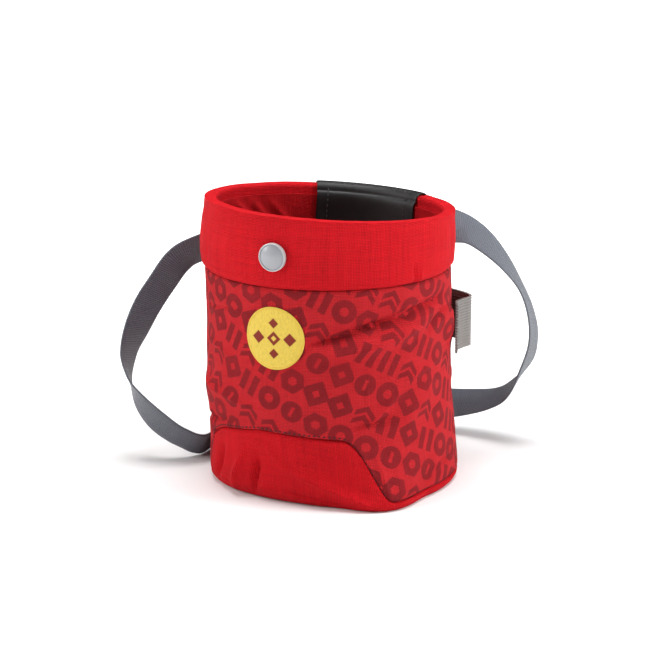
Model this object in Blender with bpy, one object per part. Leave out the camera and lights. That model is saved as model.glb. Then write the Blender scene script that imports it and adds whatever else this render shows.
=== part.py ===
# A climbing chalk bag: a soft cloth bucket with a padded collar, hung on a waist belt.
# Metres, +Z up. The origin is the middle of the base, on the floor, and the front looks along -Y.

import math
from collections import namedtuple

import bmesh
import bpy
from mathutils import Matrix, Vector

MM = 0.001

# Driving sizes
BODY_RADIUS = 66.6 * MM
BODY_HEIGHT = 120.4 * MM
BODY_WALL = 1.6 * MM
GAP = 0.3 * MM

COLLAR_HEIGHT = 34.0 * MM
COLLAR_PAD = 7.0 * MM
COLLAR_PROUD = 1.0 * MM
COLLAR_BULGE = 0.8 * MM
COLLAR_EDGE = 1.4 * MM
RIM_DROP_TO_RIGHT = 3.7 * MM
RIM_RISE_TO_FRONT = 2.7 * MM

FLOOR_WALL = 2.0 * MM
BAND_HEIGHT = 4.8 * MM
TONGUE_HEIGHT = 41.0 * MM
CURL_LOW = 5.0 * MM
CURL_HIGH = 15.0 * MM
CURL_DEPTH_SHARE = 0.62
CURL_ANGLE = -34.0
CURL_SPREAD = 62.0

LINING_WALL = 1.1 * MM
LINING_SLACK = 0.6 * MM
LINING_FOOT_SLACK = 1.6 * MM
LINING_BELOW_RIM = 6.0 * MM
LINING_STEP_SHARE = 0.87
LINING_FOOT_SHARE = 0.2

PATCH_WALL = 1.0 * MM
PATCH_GAP = 0.5 * MM
PATCH_INSIDE_DEPTH = 37.0 * MM
PATCH_OUTSIDE_DEPTH = 47.0 * MM
PATCH_STEP = 3.2 * MM
PATCH_TOP_LAND = 2.0 * MM

BELT_WIDTH = 20.0 * MM
BELT_THICKNESS = 1.3 * MM
BELT_REACH = 50.0 * MM
BELT_SIDE_ROOM = 4.4 * MM
TUNNEL_ROOM = 0.9 * MM
TUNNEL_RISE = 8.0 * MM
BUCKLE_FLOOR_GAP = 0.6 * MM
BELT_STEPS = 93

BUCKLE_LENGTH = 34.0 * MM
BUCKLE_WALL = 2.4 * MM
BUCKLE_CLEARANCE = 0.4 * MM
BUCKLE_EDGE = 1.0 * MM
BELT_TAIL_GAP = 4.0 * MM
BELT_STRAIGHT = 7.0 * MM

LOOP_WIDTH = 28.4 * MM
LOOP_THICKNESS = 1.5 * MM
LOOP_REACH = 9.2 * MM
LOOP_HEIGHT = BODY_HEIGHT - 34.4 * MM
LOOP_STEPS = 22

SNAP_RADIUS = 7.5 * MM
SNAP_DOME = 2.6 * MM
SNAP_EDGE = 0.9 * MM
SNAP_POST_RADIUS = 2.0 * MM
SNAP_HEAD_RADIUS = 5.5 * MM
SNAP_HEAD_THICKNESS = 1.4 * MM
SNAP_HEIGHT = BODY_HEIGHT + 17.4 * MM
SNAP_ANGLE = -23.6
SNAP_SIDES = 20

BADGE_RADIUS = 16.9 * MM
BADGE_THICKNESS = 1.1 * MM
BADGE_HEIGHT = BODY_HEIGHT - 27.0 * MM
BADGE_ANGLE = -25.0
BADGE_CALM_START = 12.7 * MM
BADGE_CALM_REACH = 13.3 * MM
BADGE_SIDES = 28
BADGE_RINGS = 3

# How finely the round pieces are divided
COLUMNS = 54
SHELL_ROWS = 12
BASE_ROWS = 7
LINING_ROWS = 8
BASE_INNER_ROWS = 4
ROLL_STEPS = 6
SNAP_DOME_STEPS = 4
PATCH_FIRST_COLUMN = 19
PATCH_LAST_COLUMN = 28
MERGE = 0.00001

# Rows of points crowd towards the bottom of a layer by these powers
SHELL_CROWDING = 1.25
BASE_CROWDING = 1.6
LINING_CROWDING = 1.3

# Shares of BODY_HEIGHT over which the levels soften and the folds fade out at the seams, and the share
# of a fold's length from its middle at which it has faded out
LEVEL_SOFTENING = 0.05
FOLD_FADE = 0.1
FOLD_REACH = 0.75

# How the bag leans and swells on its way up: heights are shares of BODY_HEIGHT, the rest of BODY_RADIUS
Level = namedtuple("Level", "height lean radius")
LEVELS = (
    Level(0.00, 0.030, 1.020),
    Level(0.15, 0.026, 1.005),
    Level(0.45, -0.018, 0.995),
    Level(0.75, -0.014, 0.992),
    Level(0.97, -0.022, 0.988),
    Level(1.07, -0.034, 1.000),
    Level(1.30, -0.006, 0.988),
)

# Broad dents and swellings that every layer follows: angles in degrees from the front towards the right,
# height and reach as shares of BODY_HEIGHT, and depth as a share of BODY_RADIUS, outwards if positive
Dent = namedtuple("Dent", "angle spread height reach depth")
DENTS = (
    Dent(23, 26, 0.00, 0.42, 0.115),
    Dent(-18, 44, 0.10, 0.40, -0.045),
    Dent(-72, 30, 0.12, 0.25, 0.020),
    Dent(150, 60, 0.10, 0.45, -0.030),
    Dent(205, 40, 0.45, 0.35, -0.025),
    Dent(60, 40, 0.62, 0.30, -0.015),
)

# Folds of the outer cloth alone, each along a line from one place on the body to another:
# angles in degrees, heights as shares of BODY_HEIGHT, width and lift as shares of BODY_RADIUS
Fold = namedtuple("Fold", "angle height end_angle end_height width lift")
FOLDS = (
    Fold(4, 0.72, 44, 0.82, 0.17, 0.055),
    Fold(66, 0.84, 86, 0.66, 0.17, 0.040),
    Fold(-84, 0.42, -52, 0.52, 0.17, 0.034),
    Fold(26, 0.34, 58, 0.52, 0.19, 0.032),
    Fold(196, 0.80, 232, 0.62, 0.20, 0.045),
    Fold(138, 0.35, 172, 0.55, 0.20, 0.040),
)

# The seam where the printed cloth meets the plain base: heights as shares of the way from
# BAND_HEIGHT to TONGUE_HEIGHT
SeamPoint = namedtuple("SeamPoint", "angle rise")
SEAM = (
    SeamPoint(-180, 0.00),
    SeamPoint(-78, 0.00),
    SeamPoint(-70, 0.70),
    SeamPoint(-60, 0.86),
    SeamPoint(-34, 1.00),
    SeamPoint(-14, 0.97),
    SeamPoint(6, 0.93),
    SeamPoint(10.5, 0.84),
    SeamPoint(14, 0.62),
    SeamPoint(20, 0.14),
    SeamPoint(23, 0.00),
    SeamPoint(180, 0.00),
)

# The belt's free run from the buckle round the left, through the tunnel and round the right:
# out is a share of BELT_REACH beyond the tunnel, rise a share of the way from the floor run up to
# the tunnel, and x, y, z point across the strap to the edge that is on top in the tunnel
BeltPoint = namedtuple("BeltPoint", "angle out rise x y z")
BELT_LEFT = (
    BeltPoint(233, 0.12, -0.02, 0.12, -0.36, 0.92),
    BeltPoint(255, 0.13, -0.035, 0.24, -0.64, 0.72),
    BeltPoint(261.5, 0.35, 0.015, 0.34, -0.64, 0.68),
    BeltPoint(262.5, 0.60, 0.10, 0.40, -0.62, 0.67),
    BeltPoint(261, 0.79, 0.19, 0.33, -0.80, 0.48),
    BeltPoint(259, 0.90, 0.29, 0.06, -1.00, 0.06),
    BeltPoint(257, 0.92, 0.40, -0.38, -0.92, 0.05),
    BeltPoint(256, 0.84, 0.52, -0.64, -0.72, 0.22),
    BeltPoint(255, 0.71, 0.65, -0.70, -0.60, 0.40),
    BeltPoint(253, 0.54, 0.77, -0.68, -0.57, 0.46),
    BeltPoint(250, 0.36, 0.88, -0.50, -0.52, 0.68),
    BeltPoint(242, 0.17, 0.93, -0.30, -0.60, 0.74),
    BeltPoint(218, 0.05, 0.965, -0.08, -0.24, 0.97),
)
BELT_TUNNEL = (
    BeltPoint(195, 0.00, 0.985, 0.0, 0.0, 1.0),
    BeltPoint(178, 0.00, 1.00, 0.0, 0.0, 1.0),
    BeltPoint(161, 0.00, 1.01, 0.0, 0.0, 1.0),
    BeltPoint(144, 0.00, 1.02, 0.0, 0.0, 1.0),
    BeltPoint(131, 0.00, 1.025, 0.0, 0.0, 1.0),
    BeltPoint(126, 0.005, 1.03, 0.0, 0.05, 1.0),
)
BELT_RIGHT = (
    BeltPoint(120.5, 0.13, 1.035, 0.05, 0.30, 0.95),
    BeltPoint(117.5, 0.36, 1.01, 0.24, 0.72, 0.60),
    BeltPoint(115, 0.57, 0.94, 0.28, 0.84, 0.42),
    BeltPoint(113, 0.76, 0.84, 0.20, 0.94, 0.24),
    BeltPoint(111, 0.92, 0.72, 0.12, 0.98, 0.08),
    BeltPoint(110, 1.03, 0.59, 0.22, 0.96, 0.04),
    BeltPoint(110, 1.08, 0.45, 0.34, 0.92, 0.00),
    BeltPoint(111.5, 1.03, 0.31, 0.38, 0.90, -0.10),
    BeltPoint(116, 0.89, 0.165, 0.04, 1.00, 0.00),
    BeltPoint(122, 0.78, 0.09, -0.10, 0.97, 0.14),
    BeltPoint(131, 0.65, 0.045, -0.10, 0.86, 0.48),
    BeltPoint(143, 0.49, 0.015, -0.05, 0.58, 0.80),
    BeltPoint(156, 0.31, 0.00, 0.00, 0.18, 0.98),
)
BUCKLE_ANGLE = 180.0
BUCKLE_OUT = 0.17

# The brush loop seen from above: out is a share of LOOP_REACH beyond the body cloth
LoopPoint = namedtuple("LoopPoint", "angle out")
LOOP = (
    LoopPoint(78.5, 0.0),
    LoopPoint(83.5, 0.0),
    LoopPoint(88.5, 0.48),
    LoopPoint(93.0, 1.0),
    LoopPoint(98.0, 0.92),
    LoopPoint(105.5, 0.42),
    LoopPoint(112.5, 0.0),
    LoopPoint(118.0, 0.0),
)


# Shape of the bag

def hill(distance, reach):
    """A smooth hill that is 1 at no distance and 0 past its reach."""
    if abs(distance) >= reach:
        return 0.0
    return 0.5 + 0.5 * math.cos(math.pi * distance / reach)


def turn_between(angle, other):
    """The signed turn in degrees from one angle to another, by the short way round."""
    return (other - angle + 180.0) % 360.0 - 180.0


def ease(share):
    """Goes from 0 to 1 with a soft start and end."""
    share = min(max(share, 0.0), 1.0)
    return share * share * (3.0 - 2.0 * share)


def blend_rows(rows, key, position):
    """Reads every column of a table between the two rows round the position."""
    rows = list(rows)
    if position <= getattr(rows[0], key):
        return rows[0]
    for low, high in zip(rows, rows[1:]):
        start = getattr(low, key)
        end = getattr(high, key)
        if position <= end:
            share = (position - start) / (end - start)
            return type(low)(*[a + (b - a) * share for a, b in zip(low, high)])
    return rows[-1]


def level_at(height):
    """The bag's lean and radius shares at a height, with the corners between rows eased."""
    share = height / BODY_HEIGHT
    samples = [blend_rows(LEVELS, "height", share + step * LEVEL_SOFTENING) for step in (-1, 0, 1)]
    return Level(share, sum(s.lean for s in samples) / 3, sum(s.radius for s in samples) / 3)


def curl_height(angle):
    """How high the rounding of the bottom edge reaches, most at the front left."""
    return CURL_LOW + (CURL_HIGH - CURL_LOW) * hill(turn_between(CURL_ANGLE, angle), CURL_SPREAD)


def core_radius(angle, height):
    """The surface between the body cloth and the lining, as a distance from the leaning axis."""
    radius = BODY_RADIUS * level_at(height).radius
    share = height / BODY_HEIGHT
    for dent in DENTS:
        around = hill(turn_between(dent.angle, angle), dent.spread)
        radius += BODY_RADIUS * dent.depth * around * hill(share - dent.height, dent.reach)
    curl = curl_height(angle)
    if height < curl:
        part = 1.0 - height / curl
        radius -= curl * CURL_DEPTH_SHARE * (1.0 - math.sqrt(1.0 - part * part))
    return radius


def place(angle, height, radius):
    """A point at an angle and height, that far from the leaning axis."""
    turn = math.radians(angle)
    lean = BODY_RADIUS * level_at(height).lean
    return Vector((lean + radius * math.sin(turn), -radius * math.cos(turn), height))


def badge_calm(angle, height):
    """Fades the folds out under the badge, whose stitches hold the cloth flat."""
    across = math.radians(turn_between(BADGE_ANGLE, angle)) * BODY_RADIUS
    distance = math.hypot(across, height - BADGE_HEIGHT)
    return ease((distance - BADGE_RADIUS - BADGE_CALM_START) / BADGE_CALM_REACH)


def fold_lift(angle, height):
    """How far the folds lift the printed cloth there."""
    lift = 0.0
    share = height / BODY_HEIGHT
    for fold in FOLDS:
        along_angle = math.radians(turn_between(fold.angle, fold.end_angle)) * BODY_RADIUS
        along_height = (fold.end_height - fold.height) * BODY_HEIGHT
        here_angle = math.radians(turn_between(fold.angle, angle)) * BODY_RADIUS
        here_height = (share - fold.height) * BODY_HEIGHT
        length = math.hypot(along_angle, along_height)
        along = (here_angle * along_angle + here_height * along_height) / length
        across = (here_height * along_angle - here_angle * along_height) / length
        ends = hill(along / length - 0.5, FOLD_REACH)
        lift += BODY_RADIUS * fold.lift * ends * hill(across, fold.width * BODY_RADIUS)
    return lift * badge_calm(angle, height)


def seam_height(angle):
    """The height of the seam between the printed cloth and the base."""
    rise = blend_rows(SEAM, "angle", turn_between(0.0, angle)).rise
    return BAND_HEIGHT + (TONGUE_HEIGHT - BAND_HEIGHT) * rise


def shell_inside(angle, height):
    """The inner face of the printed cloth, which the folds carry with them."""
    free = ease((height - seam_height(angle)) / (FOLD_FADE * BODY_HEIGHT))
    free *= ease((BODY_HEIGHT - height) / (FOLD_FADE * BODY_HEIGHT))
    return core_radius(angle, height) + 0.5 * GAP + fold_lift(angle, height) * free


def shell_outside(angle, height):
    """The outer face of the printed cloth."""
    return shell_inside(angle, height) + BODY_WALL


def rim_height(angle):
    """The top of the collar's roll, which droops towards the right and the back."""
    turn = math.radians(angle)
    tilt = RIM_RISE_TO_FRONT * math.cos(turn) - RIM_DROP_TO_RIGHT * math.sin(turn)
    return BODY_HEIGHT + COLLAR_HEIGHT + tilt


def collar_outside(angle, height):
    """The outer face of the collar, a little proud of the printed cloth."""
    return core_radius(angle, height) + 0.5 * GAP + BODY_WALL + COLLAR_PROUD


def collar_inside(angle, height):
    """The inner face of the collar."""
    return collar_outside(angle, height) - COLLAR_PAD


def lining_step_end():
    """Where the lining has reached the inside of the collar, just below it."""
    return BODY_HEIGHT - 2.0 * GAP


def lining_step_start():
    """Where the lining starts to leave the body cloth for the collar."""
    return LINING_STEP_SHARE * BODY_HEIGHT


def collar_middle(angle):
    """The height halfway up the collar's straight part."""
    return 0.5 * (BODY_HEIGHT + 0.5 * GAP + rim_height(angle) - 0.5 * COLLAR_PAD)


def lining_outside(angle, height):
    """The outer face of the lining: loose in the body, then tight inside the collar."""
    foot = 1.0 - ease(height / (LINING_FOOT_SHARE * BODY_HEIGHT))
    loose = core_radius(angle, height) - LINING_SLACK - LINING_FOOT_SLACK * foot
    tight = collar_inside(angle, height) - 1.5 * GAP
    share = ease((height - lining_step_start()) / (lining_step_end() - lining_step_start()))
    return loose + (tight - loose) * share


def lining_inside(angle, height):
    """The inner face of the lining."""
    return lining_outside(angle, height) - LINING_WALL


# Making meshes

def material(name, colour, roughness, metallic=0.0):
    """A plain surface with one colour."""
    made = bpy.data.materials.new(name)
    made.use_nodes = True
    shader = made.node_tree.nodes["Principled BSDF"]
    shader.inputs["Base Color"].default_value = (*colour, 1.0)
    shader.inputs["Roughness"].default_value = roughness
    shader.inputs["Metallic"].default_value = metallic
    return made


def add_object(name, bm, surface, smooth_angle=40.0):
    """Puts a finished mesh into the scene, shaded smooth between its sharp edges."""
    mesh = bpy.data.meshes.new(name)
    bm.to_mesh(mesh)
    bm.free()
    mesh.materials.append(surface)
    mesh.shade_smooth()
    mesh.set_sharp_from_angle(angle=math.radians(smooth_angle))
    made = bpy.data.objects.new(name, mesh)
    bpy.context.collection.objects.link(made)
    return made


def grid_skin(around, along, position):
    """A flat grid whose points move to position(column, row), with its meeting edges joined."""
    bm = bmesh.new()
    bmesh.ops.create_grid(bm, x_segments=around, y_segments=along, size=1.0)
    for vert in bm.verts:
        column = round((vert.co.x + 1.0) * 0.5 * around)
        row = round((vert.co.y + 1.0) * 0.5 * along)
        vert.co = position(column, row)
    bmesh.ops.remove_doubles(bm, verts=bm.verts, dist=MERGE)
    return bm


def close_up(bm):
    """Fills the open ends and turns every face outwards."""
    open_edges = [edge for edge in bm.edges if edge.is_boundary]
    if open_edges:
        bmesh.ops.holes_fill(bm, edges=open_edges, sides=0)
    bmesh.ops.recalc_face_normals(bm, faces=bm.faces)
    return bm


def column_angle(column):
    """The angle of one of the columns that all the round layers share."""
    return 360.0 * (column % COLUMNS) / COLUMNS


def ring_solid(name, section, surface, closed):
    """A solid from one section of points for each column, closed into a loop or at the bottom."""
    rows = len(section(0.0)) - (0 if closed else 1)

    def position(column, row):
        points = section(column_angle(column))
        return points[row % len(points)]

    bm = grid_skin(COLUMNS, rows, position)
    return add_object(name, close_up(bm), surface)


def ribbon(name, centres, acrosses, width, thickness, surface):
    """A flat strap along its middle line, with the direction across it given at each point."""
    corners = []
    last = len(centres) - 1
    for index, (centre, across) in enumerate(zip(centres, acrosses)):
        forward = (centres[min(index + 1, last)] - centres[max(index - 1, 0)]).normalized()
        across = (across - forward * across.dot(forward)).normalized()
        face = forward.cross(across)
        half_across = across * width * 0.5
        half_face = face * thickness * 0.5
        corners.append((
            centre + half_across + half_face,
            centre - half_across + half_face,
            centre - half_across - half_face,
            centre + half_across - half_face,
        ))
    bm = grid_skin(last, 4, lambda column, row: corners[column][row % 4])
    return add_object(name, close_up(bm), surface)


def smooth_line(points, steps):
    """Evenly numbered points on a smooth curve through the given ones."""
    points = [points[0] * 2.0 - points[1], *points, points[-1] * 2.0 - points[-2]]
    spans = len(points) - 3
    line = []
    for step in range(steps + 1):
        place_on = step / steps * spans
        span = min(int(place_on), spans - 1)
        share = place_on - span
        before, start, end, after = points[span:span + 4]
        line.append(0.5 * (
            2.0 * start
            + (end - before) * share
            + (2.0 * before - 5.0 * start + 4.0 * end - after) * share ** 2
            + (3.0 * start - before - 3.0 * end + after) * share ** 3
        ))
    return line


# The pieces

def make_shell(surface):
    """The printed body cloth, from the base seam up to the collar."""

    def section(angle):
        bottom = seam_height(angle) + 0.5 * GAP
        top = BODY_HEIGHT - 0.5 * GAP
        shares = [(row / SHELL_ROWS) ** SHELL_CROWDING for row in range(SHELL_ROWS + 1)]
        heights = [bottom + (top - bottom) * share for share in shares]
        outer = [place(angle, height, shell_outside(angle, height)) for height in heights]
        inner = [place(angle, height, shell_inside(angle, height)) for height in reversed(heights)]
        return outer + inner

    return ring_solid("shell", section, surface, closed=True)


def make_base(surface):
    """The base pan with its flat underside, its low band and the tongue up the front."""

    def section(angle):
        top = seam_height(angle) - 0.5 * GAP
        heights = [top * (row / BASE_ROWS) ** BASE_CROWDING for row in range(BASE_ROWS + 1)]
        outer = [place(angle, height, shell_inside(angle, height) + BODY_WALL) for height in heights]
        inner_shares = [row / BASE_INNER_ROWS for row in range(BASE_INNER_ROWS + 1)]
        inner_heights = [FLOOR_WALL + (top - FLOOR_WALL) * share for share in inner_shares]
        inner = [place(angle, height, shell_inside(angle, height)) for height in reversed(inner_heights)]
        return outer + inner

    return ring_solid("base", section, surface, closed=False)


def make_lining(surface):
    """The inner cloth and its floor."""

    def section(angle):
        floor = FLOOR_WALL + LINING_SLACK
        start = lining_step_start()
        shares = [(row / LINING_ROWS) ** LINING_CROWDING for row in range(LINING_ROWS + 1)]
        heights = [floor + (start - floor) * share for share in shares]
        heights += [0.5 * (start + lining_step_end()), lining_step_end()]
        heights += [collar_middle(angle), rim_height(angle) - LINING_BELOW_RIM]
        outer = [place(angle, height, lining_outside(angle, height)) for height in heights]
        inner_heights = [max(height, floor + LINING_WALL) for height in reversed(heights)]
        inner = [place(angle, height, lining_inside(angle, height)) for height in inner_heights]
        return outer + inner

    return ring_solid("lining", section, surface, closed=False)


def roll_points(angle, extra):
    """The rounded top of the collar from outside to inside, that much bigger than the pad."""
    top = rim_height(angle)
    half = 0.5 * COLLAR_PAD
    middle = collar_outside(angle, top) - half
    points = []
    for step in range(ROLL_STEPS + 1):
        turn = math.pi * step / ROLL_STEPS
        height = top - half + (half + extra) * math.sin(turn)
        points.append((middle + (half + extra) * math.cos(turn), height))
    return points


def make_collar(surface):
    """The padded band with its rolled top edge."""

    def section(angle):
        bottom = BODY_HEIGHT + 0.5 * GAP
        middle = collar_middle(angle)
        outer = [
            (collar_outside(angle, bottom) - COLLAR_EDGE, bottom),
            (collar_outside(angle, bottom), bottom + COLLAR_EDGE),
            (collar_outside(angle, middle) + COLLAR_BULGE, middle),
        ]
        inner = [
            (collar_inside(angle, middle), middle),
            (collar_inside(angle, bottom), bottom + COLLAR_EDGE),
            (collar_inside(angle, bottom) + COLLAR_EDGE, bottom),
        ]
        return [place(angle, height, radius) for radius, height in outer + roll_points(angle, 0.0) + inner]

    return ring_solid("collar", section, surface, closed=True)


def tunnel_height():
    """The middle height of the belt in its tunnel."""
    return BODY_HEIGHT + 0.5 * GAP + TUNNEL_RISE


def tunnel_seat(angle):
    """The furthest that the collar stands out behind the belt."""
    heights = [BODY_HEIGHT + BELT_WIDTH * share for share in (0.0, 0.25, 0.5, 0.75, 1.0)]
    return max(collar_outside(angle, height) for height in heights) + COLLAR_BULGE


def make_rear_patch(surface):
    """The black cloth folded over the back rim, whose outer flap holds the belt."""

    def middle_line(angle):
        half = 0.5 * PATCH_WALL
        out = PATCH_GAP + half
        tunnel = tunnel_seat(angle) + 2.0 * TUNNEL_ROOM + BELT_THICKNESS + half
        rim = rim_height(angle)
        belt_top = belt_height(1.01) + 0.5 * BELT_WIDTH + BELT_SIDE_ROOM
        belt_top = min(belt_top, rim - 0.5 * COLLAR_PAD - PATCH_TOP_LAND)
        belt_bottom = belt_height(0.99) - 0.5 * BELT_WIDTH - BELT_SIDE_ROOM
        foot = min(rim - PATCH_OUTSIDE_DEPTH, belt_bottom - 2.0 * PATCH_STEP)
        sewn_top = belt_bottom - PATCH_STEP
        sewn_heights = (foot, 0.5 * (foot + sewn_top), sewn_top)
        flap = [(shell_outside(angle, height) + out, height) for height in sewn_heights]
        flap += [(tunnel, height) for height in (belt_bottom, 0.5 * (belt_bottom + belt_top), belt_top)]
        roll = roll_points(angle, out)
        inner_foot = max(rim - PATCH_INSIDE_DEPTH, lining_step_end())
        leaf = [
            (lining_inside(angle, height) - out, height)
            for height in (rim - LINING_BELOW_RIM, collar_middle(angle), inner_foot)
        ]
        return flap + roll + leaf

    def section(angle):
        line = [Vector(point) for point in middle_line(angle)]
        last = len(line) - 1
        outer = []
        inner = []
        for index, point in enumerate(line):
            forward = (line[min(index + 1, last)] - line[max(index - 1, 0)]).normalized()
            side = Vector((forward.y, -forward.x)) * 0.5 * PATCH_WALL
            outer.append(point + side)
            inner.append(point - side)
        return [place(angle, point.y, point.x) for point in outer + list(reversed(inner))]

    spans = PATCH_LAST_COLUMN - PATCH_FIRST_COLUMN
    sections = [section(column_angle(PATCH_FIRST_COLUMN + span)) for span in range(spans + 1)]
    rows = len(sections[0])
    bm = grid_skin(spans, rows, lambda column, row: sections[column][row % rows])
    return add_object("rear_patch", close_up(bm), surface)


def belt_height(rise):
    """The height of the belt's middle line, from its run along the floor to its tunnel."""
    low = 0.5 * BELT_WIDTH + BUCKLE_CLEARANCE + BUCKLE_WALL + BUCKLE_FLOOR_GAP
    return low + (tunnel_height() - low) * rise


def belt_place(angle, out, rise):
    """A point of the belt's middle line."""
    height = belt_height(rise)
    around = BODY_RADIUS + BODY_WALL + COLLAR_PROUD + COLLAR_BULGE
    around += (tunnel_seat(angle) - around) * ease(rise)
    return place(angle, height, around + TUNNEL_ROOM + 0.5 * BELT_THICKNESS + out * BELT_REACH)


def buckle_middle():
    """The middle of the buckle behind the bag."""
    return belt_place(BUCKLE_ANGLE, BUCKLE_OUT, 0.0)


def make_belt(surface):
    """The waist belt: one strap from one side of the buckle round to the other."""
    middle = buckle_middle()
    from_middle = (0.5 * BELT_TAIL_GAP, 0.5 * BUCKLE_LENGTH, 0.5 * BUCKLE_LENGTH + BELT_STRAIGHT)
    left_end = [middle - Vector((distance, 0.0, 0.0)) for distance in from_middle]
    right_end = [middle + Vector((distance, 0.0, 0.0)) for distance in reversed(from_middle)]
    upright = [Vector((0.0, 0.0, 1.0))] * len(from_middle)
    rows = BELT_LEFT + BELT_TUNNEL + BELT_RIGHT
    route = left_end + [belt_place(row.angle, row.out, row.rise) for row in rows] + right_end
    acrosses = upright + [Vector((row.x, row.y, row.z)) for row in rows] + upright
    line = smooth_line(route, BELT_STEPS)
    return ribbon("belt", line, smooth_line(acrosses, BELT_STEPS), BELT_WIDTH, BELT_THICKNESS, surface)


def make_buckle(surface):
    """The clasp as one plain sleeve that both ends of the belt go into."""
    middle = buckle_middle()
    slot_height = BELT_WIDTH + 2.0 * BUCKLE_CLEARANCE
    slot_depth = BELT_THICKNESS + 2.0 * BUCKLE_CLEARANCE
    size = Vector((BUCKLE_LENGTH, slot_depth + 2.0 * BUCKLE_WALL, slot_height + 2.0 * BUCKLE_WALL))
    bm = bmesh.new()
    bmesh.ops.create_cube(bm, size=1.0, matrix=Matrix.Translation(middle) @ Matrix.Diagonal((*size, 1.0)))
    bmesh.ops.bevel(
        bm, geom=bm.edges[:], offset=BUCKLE_EDGE, offset_type="OFFSET", segments=2,
        profile=0.5, affect="EDGES", material=-1)
    sleeve = add_object("buckle", close_up(bm), surface)
    cutter = bmesh.new()
    slot = Vector((2.0 * BUCKLE_LENGTH, slot_depth, slot_height))
    bmesh.ops.create_cube(cutter, size=1.0, matrix=Matrix.Translation(middle) @ Matrix.Diagonal((*slot, 1.0)))
    cut(sleeve, add_cutter("buckle_slot", cutter))
    return sleeve


def make_brush_loop(surface):
    """The elastic tunnel on the side that holds a brush handle."""

    def cloth(angle):
        reach = 0.5 * LOOP_WIDTH
        heights = [LOOP_HEIGHT + reach * share for share in (-1.0, -0.5, 0.0, 0.5, 1.0)]
        return max(shell_outside(angle, height) for height in heights)

    rows = []
    for step in smooth_line([Vector((point.angle, point.out)) for point in LOOP], LOOP_STEPS):
        out = max(step.y, 0.0) * LOOP_REACH + 2.0 * GAP + 0.5 * LOOP_THICKNESS
        rows.append(place(step.x, LOOP_HEIGHT, cloth(step.x) + out))
    up = [Vector((0.0, 0.0, 1.0))] * len(rows)
    return ribbon("brush_loop", rows, up, LOOP_WIDTH, LOOP_THICKNESS, surface)


def add_cutter(name, bm):
    """A hidden shape that only cuts."""
    mesh = bpy.data.meshes.new(name)
    bmesh.ops.recalc_face_normals(bm, faces=bm.faces)
    bm.to_mesh(mesh)
    bm.free()
    made = bpy.data.objects.new(name, mesh)
    made.hide_render = True
    made.display_type = "WIRE"
    bpy.context.collection.objects.link(made)
    return made


def cut(target, cutter):
    """Takes the cutter's shape out of the target."""
    modifier = target.modifiers.new(cutter.name, "BOOLEAN")
    modifier.operation = "DIFFERENCE"
    modifier.solver = "EXACT"
    modifier.object = cutter


def snap_frame():
    """The place of the snap on the collar, with Z pointing out of the cloth."""
    turn = math.radians(SNAP_ANGLE)
    outwards = Vector((math.sin(turn), -math.cos(turn), 0.0))
    seat = place(SNAP_ANGLE, SNAP_HEIGHT, collar_outside(SNAP_ANGLE, SNAP_HEIGHT) + COLLAR_BULGE)
    return seat, outwards.to_track_quat("Z", "Y").to_matrix().to_4x4()


def make_snap_button(surface):
    """The snap's cap, its post through the collar and lining, and its head inside."""
    seat, turned = snap_frame()
    through = collar_outside(SNAP_ANGLE, SNAP_HEIGHT) + COLLAR_BULGE - lining_inside(SNAP_ANGLE, SNAP_HEIGHT)
    inner_sag = SNAP_HEAD_RADIUS ** 2 / (2.0 * lining_inside(SNAP_ANGLE, SNAP_HEIGHT)) + 0.5 * GAP
    head_top = -(through + GAP + inner_sag)
    head_bottom = head_top - SNAP_HEAD_THICKNESS
    dome = []
    for step in range(SNAP_DOME_STEPS + 1):
        lean = 0.5 * math.pi * step / SNAP_DOME_STEPS
        radius = SNAP_RADIUS
        if step < SNAP_DOME_STEPS:
            radius = (SNAP_RADIUS - 0.25 * SNAP_EDGE) * math.sin(lean)
        dome.append((radius, GAP + SNAP_EDGE + SNAP_DOME * math.cos(lean)))
    profile = dome + [
        (SNAP_RADIUS, GAP + 0.3 * SNAP_EDGE),
        (SNAP_RADIUS - 0.5 * SNAP_EDGE, GAP),
        (SNAP_POST_RADIUS, GAP),
        (SNAP_POST_RADIUS, head_top),
        (SNAP_HEAD_RADIUS, head_top),
        (SNAP_HEAD_RADIUS, head_bottom),
        (0.0, head_bottom),
    ]
    bm = bmesh.new()
    verts = [bm.verts.new((radius, 0.0, height)) for radius, height in profile]
    edges = [bm.edges.new(pair) for pair in zip(verts, verts[1:])]
    bmesh.ops.spin(
        bm, geom=verts + edges, cent=(0.0, 0.0, 0.0), axis=(0.0, 0.0, 1.0), dvec=(0.0, 0.0, 0.0),
        angle=2.0 * math.pi, steps=SNAP_SIDES, use_merge=True)
    bmesh.ops.remove_doubles(bm, verts=bm.verts, dist=MERGE)
    bmesh.ops.transform(bm, matrix=Matrix.Translation(seat) @ turned, verts=bm.verts)
    return add_object("snap_button", close_up(bm), surface)


def snap_hole_cutter():
    """The hole that the snap's post passes through."""
    seat, turned = snap_frame()
    bm = bmesh.new()
    radius = SNAP_POST_RADIUS + GAP
    bmesh.ops.create_cone(
        bm, cap_ends=True, segments=SNAP_SIDES, radius1=radius, radius2=radius, depth=6.0 * COLLAR_PAD,
        matrix=Matrix.Translation(seat) @ turned)
    return add_cutter("snap_hole", bm)


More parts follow.
